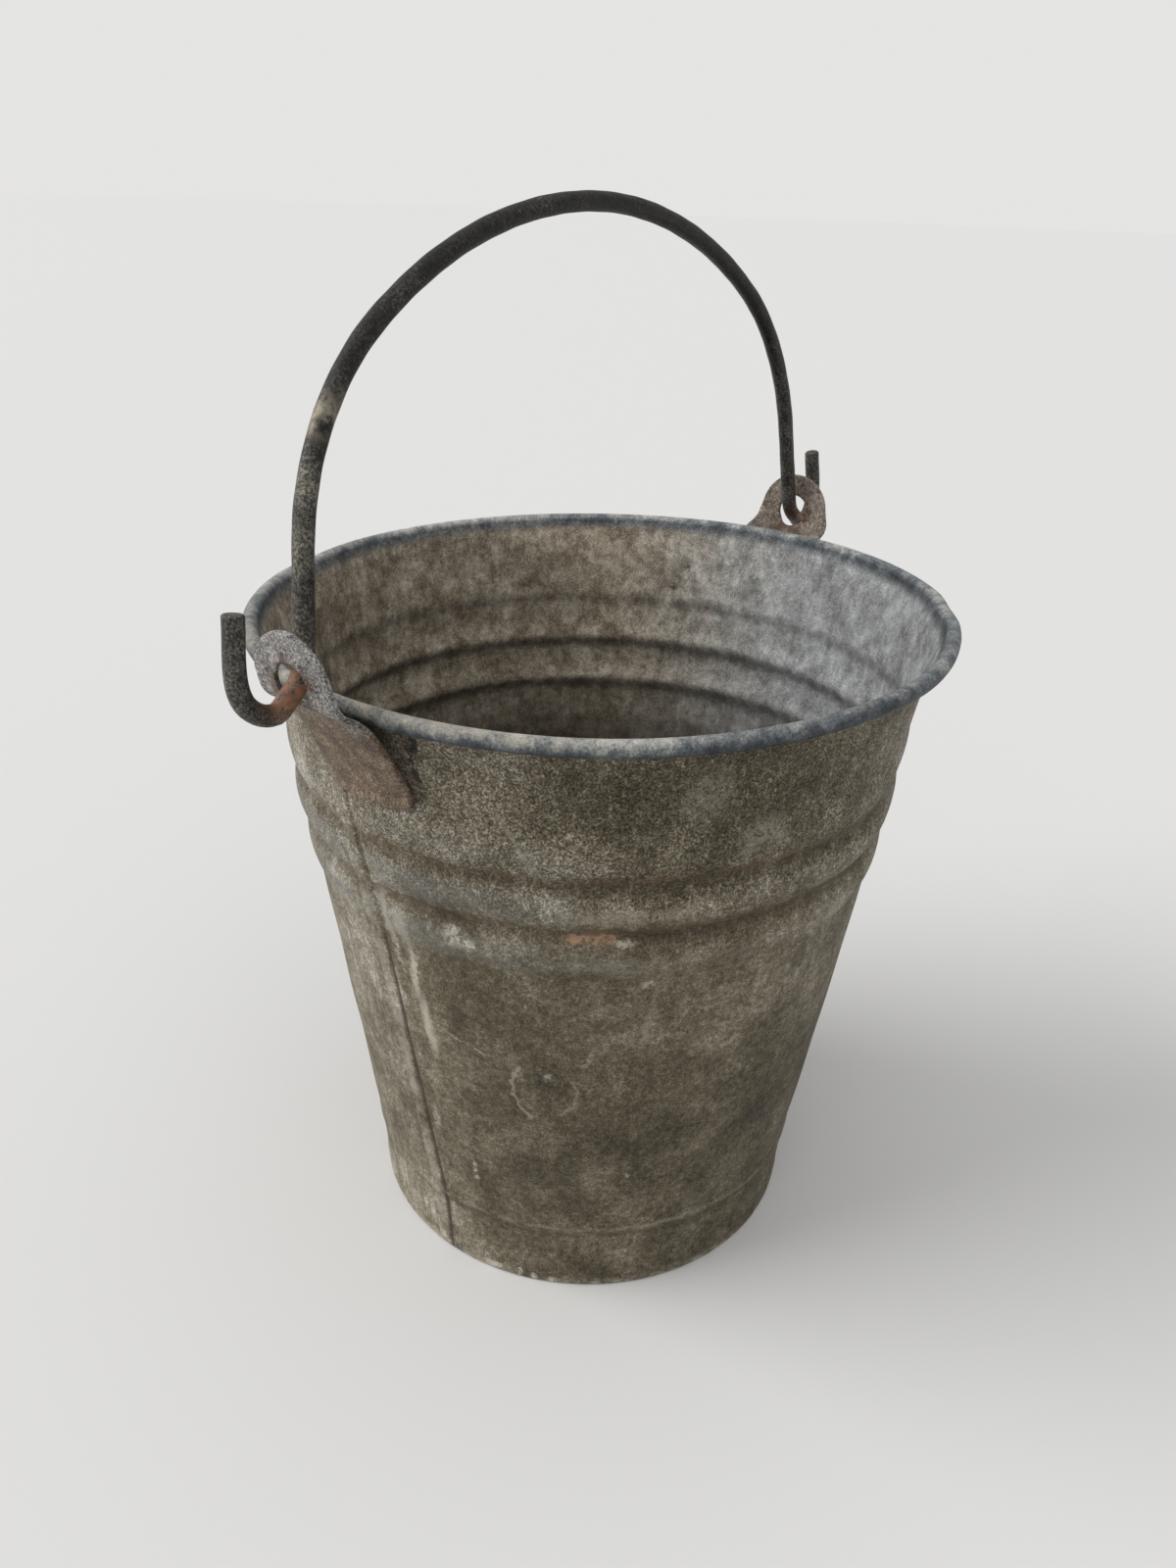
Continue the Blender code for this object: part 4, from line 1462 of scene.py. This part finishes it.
@dataclass
class Bail:
    """The bail, bent from one wire, with a hook at each end."""

    wire_radius: float = 2.95 * MM
    hinge_radius: float = 136.5 * MM
    hinge_height: float = 247.9 * MM
    rise: float = 116.0 * MM
    crown_radius: float = 165.0 * MM
    shoulder_radius: float = 80.0 * MM
    leg_lean: float = 9.5
    hook_radius: float = 11.0 * MM
    hook_out: float = 6.4 * MM
    hook_up: float = 7.1 * MM
    hook_tip: float = 22.0 * MM
    rest_tilt: float = 4.7
    sides: int = 24
    step: float = 1.6 * MM
    chamfer: float = 0.5 * MM
    roughness: float = 0.07 * MM
    bow: float = 1.6 * MM
    hook_dip: float = 2.4 * MM
    end_share: float = 0.8

    def half_line(self) -> list[Point]:
        """Return half of the wire's middle line, from its crown to its hook's tip."""
        lean = math.radians(self.leg_lean)
        outward = np.array((math.cos(lean), math.sin(lean)))
        upward = np.array((-math.sin(lean), math.cos(lean)))
        hook = np.array((self.hinge_radius + self.hook_out, self.hook_up))
        leg_end = hook - self.hook_radius * outward
        crown = np.array((0.0, self.rise - self.crown_radius))
        side = float((leg_end - crown) @ outward) - self.shoulder_radius
        climb = math.sqrt((self.crown_radius - self.shoulder_radius) ** 2 - side ** 2)
        shoulder = crown + side * outward + climb * upward
        turn = math.degrees(math.atan2(shoulder[1] - crown[1], shoulder[0] - crown[0]))
        points = arc(tuple(crown), self.crown_radius, 90.0, turn, 1.0)[:-1]
        points += arc(tuple(shoulder), self.shoulder_radius, turn, self.leg_lean, 1.0)
        points += arc(tuple(hook), self.hook_radius, 180.0 + self.leg_lean, 360.0 + self.leg_lean, 4.0)
        end = np.array(points[-1])
        points.append(tuple(end + (self.hook_tip - end[1]) / upward[1] * upward))
        return points

    def even_line(self) -> np.ndarray:
        """Return the whole wire's middle line in evenly spaced points."""
        half = self.half_line()
        line = np.array([(-x, z) for x, z in reversed(half[1:])] + half)
        lengths = np.concatenate([[0.0], np.cumsum(np.linalg.norm(np.diff(line, axis=0), axis=1))])
        goals = np.linspace(0.0, lengths[-1], round(lengths[-1] / self.step))
        even = np.stack([np.interp(goals, lengths, line[:, i]) for i in range(2)], axis=1)
        for _ in range(2):
            even[1:-1] = (even[:-2] + 2 * even[1:-1] + even[2:]) / 4
        out = np.abs(even[:, 0]) - self.hinge_radius
        dip = ease(out, 1.0 * MM, 7.0 * MM) * (1.0 - ease(even[:, 1], 0.0, self.hook_tip * 0.8))
        even[:, 1] -= self.hook_dip * dip
        return even

    def build(self) -> bpy.types.Object:
        """Build the bail.

        Returns:
            The bail.
        """
        line = self.even_line()
        run = np.gradient(line, axis=0)
        run /= np.linalg.norm(run, axis=1, keepdims=True)
        along = np.linspace(0.0, 1.0, len(line))
        sway = self.bow * np.sin(math.pi * along) ** 2 * np.sin(math.tau * along + 0.6)
        shrink = np.ones(len(line))
        line = np.concatenate([line[:1], line, line[-1:]])
        run = np.concatenate([run[:1], run, run[-1:]])
        sway = np.concatenate([sway[:1], sway, sway[-1:]])
        shrink = np.concatenate([[self.end_share], shrink, [self.end_share]])
        line[0] -= run[0] * self.chamfer
        line[-1] += run[-1] * self.chamfer
        around = np.linspace(0.0, math.tau, self.sides, endpoint=False)
        rows = np.arange(len(line))[:, None]
        rough = (np.sin(rows * 0.9 + 3 * around) + np.sin(rows * 0.37 - 2 * around + 1.7)
                 + np.sin(rows * 0.13 + around))
        radius = (self.wire_radius + self.roughness * rough / 2) * shrink[:, None]
        side = radius * np.cos(around)
        x = line[:, :1] + side * -run[:, 1:]
        up = line[:, 1:] + side * run[:, :1]
        back = sway[:, None] + radius * np.sin(around)
        tilt = -math.radians(self.rest_tilt)
        points = np.stack([
            x,
            back * math.cos(tilt) - up * math.sin(tilt),
            back * math.sin(tilt) + up * math.cos(tilt) + self.hinge_height,
        ], axis=-1)
        mesh = grid_mesh("bail_wire", points, closed_rows=False)
        work = bmesh.new()
        work.from_mesh(mesh)
        bmesh.ops.holes_fill(work, edges=[edge for edge in work.edges if edge.is_boundary])
        work.to_mesh(mesh)
        work.free()
        face_out(mesh)
        item = new_object("bail_wire", mesh, BlackSteel().material())
        mesh.set_sharp_from_angle(angle=math.radians(35.0))
        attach(item, "bail")
        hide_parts("bail")
        return item


@dataclass
class Studio:
    """The pale floor, the soft lamps and the camera."""

    stand: tuple[float, float, float] = (-0.32037, -0.23109, 0.36261)
    heading: float = 36.4
    pitch: float = -26.245
    roll: float = 2.016
    lens: float = 26.98
    sensor_height: float = 36.0
    shift_x: float = 0.002
    floor_size: float = 120.0
    floor_drop: float = 0.2 * MM
    glow: float = 0.60

    def axes(self) -> tuple[Vector, Vector, Vector]:
        """Return the camera's right, up and forward directions."""
        heading, pitch, roll = (math.radians(a) for a in (self.heading, self.pitch, self.roll))
        level = math.cos(pitch)
        forward = Vector((level * math.cos(heading), level * math.sin(heading), math.sin(pitch)))
        right = Vector((math.sin(heading), -math.cos(heading), 0.0))
        up = right.cross(forward)
        turned = right * math.cos(roll) + up * math.sin(roll)
        return turned, up * math.cos(roll) - right * math.sin(roll), forward

    def camera(self) -> None:
        """Place the camera at the photograph's angle."""
        lens = bpy.data.cameras.new("camera")
        lens.sensor_fit = "VERTICAL"
        lens.sensor_height = self.sensor_height
        lens.lens = self.lens
        lens.shift_x = self.shift_x
        lens.clip_start = 0.01
        item = bpy.data.objects.new("camera", lens)
        bpy.context.scene.collection.objects.link(item)
        right, up, forward = self.axes()
        turn = Matrix((right, up, -forward)).transposed().to_4x4()
        item.matrix_world = Matrix.Translation(self.stand) @ turn
        bpy.context.scene.camera = item

    def floor(self) -> None:
        """Lay the floor."""
        bpy.ops.mesh.primitive_plane_add(size=self.floor_size, location=(0.0, 0.0, -self.floor_drop))
        item = bpy.context.active_object
        item.name = "floor"
        item.data.materials.append(PaleGround().material())

    def lamp(self, name: str, place: tuple[float, float, float], spread: float, strength: float,
             colour: Colour) -> None:
        """Hang one soft far lamp, turned to the bucket.

        Args:
            name: The lamp's name.
            place: The side that its light comes from.
            spread: How wide it looks from the bucket.
            strength: Its light's strength.
            colour: Its colour.
        """
        light = bpy.data.lights.new(name, "SUN")
        light.angle = math.radians(spread)
        light.energy = strength
        light.color = colour
        item = bpy.data.objects.new(name, light)
        bpy.context.scene.collection.objects.link(item)
        item.location = place
        aim = -Vector(place)
        item.rotation_euler = aim.to_track_quat("-Z", "Y").to_euler()

    def world(self) -> None:
        """Fill the room with soft light and show it as a pale wall."""
        world = bpy.data.worlds.new("room")
        world.use_nodes = True
        nodes, links = world.node_tree.nodes, world.node_tree.links
        glow = nodes["Background"]
        glow.inputs["Color"].default_value = (0.96, 0.97, 1.0, 1.0)
        glow.inputs["Strength"].default_value = self.glow
        wall = nodes.new("ShaderNodeBackground")
        wall.inputs["Color"].default_value = (0.785, 0.78, 0.765, 1.0)
        wall.inputs["Strength"].default_value = 1.0
        rays = nodes.new("ShaderNodeLightPath")
        seen = nodes.new("ShaderNodeMath")
        seen.operation = "MAXIMUM"
        links.new(rays.outputs["Is Camera Ray"], seen.inputs[0])
        links.new(rays.outputs["Is Transmission Ray"], seen.inputs[1])
        mix = nodes.new("ShaderNodeMixShader")
        links.new(seen.outputs[0], mix.inputs[0])
        links.new(glow.outputs[0], mix.inputs[1])
        links.new(wall.outputs[0], mix.inputs[2])
        links.new(mix.outputs[0], nodes["World Output"].inputs[0])
        bpy.context.scene.world = world

    def build(self) -> None:
        """Build the whole studio."""
        self.camera()
        self.floor()
        self.lamp("window", (-0.85, 0.95, 0.85), 45.0, 2.7, (0.985, 0.99, 1.0))
        self.lamp("overhead", (-0.2, -0.3, 2.0), 75.0, 0.6, (1.0, 0.985, 0.96))
        self.lamp("front", (-0.8, -0.75, 0.55), 80.0, 0.5, (1.0, 0.985, 0.96))
        self.world()
        view = bpy.context.scene.view_settings
        view.view_transform = "Standard"


def dress_rim_wire() -> None:
    """Give the rim's hidden wire its steel."""
    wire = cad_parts["rim_wire"]
    wire.data.materials.clear()
    wire.data.materials.append(BlackSteel("rim_wire_steel").material())


def main() -> None:
    """Build every piece of the bucket and the studio, and log each one."""
    logging.basicConfig(level=logging.INFO, format="%(name)s: %(message)s")
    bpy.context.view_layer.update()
    body = Body()
    left_seat = Seam().height + body.gap
    pieces: list[tuple[str, Callable[[], bpy.types.Object]]] = [
        ("wall", Wall(body).build),
        ("bottom", Bottom(body).build),
        ("left ear", Ear("left_ear", "ear_left", azimuth=180.0, seat=left_seat, skew=6.0 * MM,
                         slim=4.5 * MM, finish=EarZinc("left_ear_zinc"), body=body).build),
        ("right ear", Ear("right_ear", "ear_right", azimuth=0.0, seat=body.gap, skew=0.0,
                          slim=0.0, finish=EarZinc("right_ear_zinc", silver_and_highlight=0.35), body=body).build),
        ("bail", Bail().build),
    ]
    Studio().build()
    for label, build in pieces:
        item = build()
        log.info("%s: %d points, %d faces", label, len(item.data.vertices), len(item.data.polygons))
    dress_rim_wire()


if __name__ == "__main__":
    main()
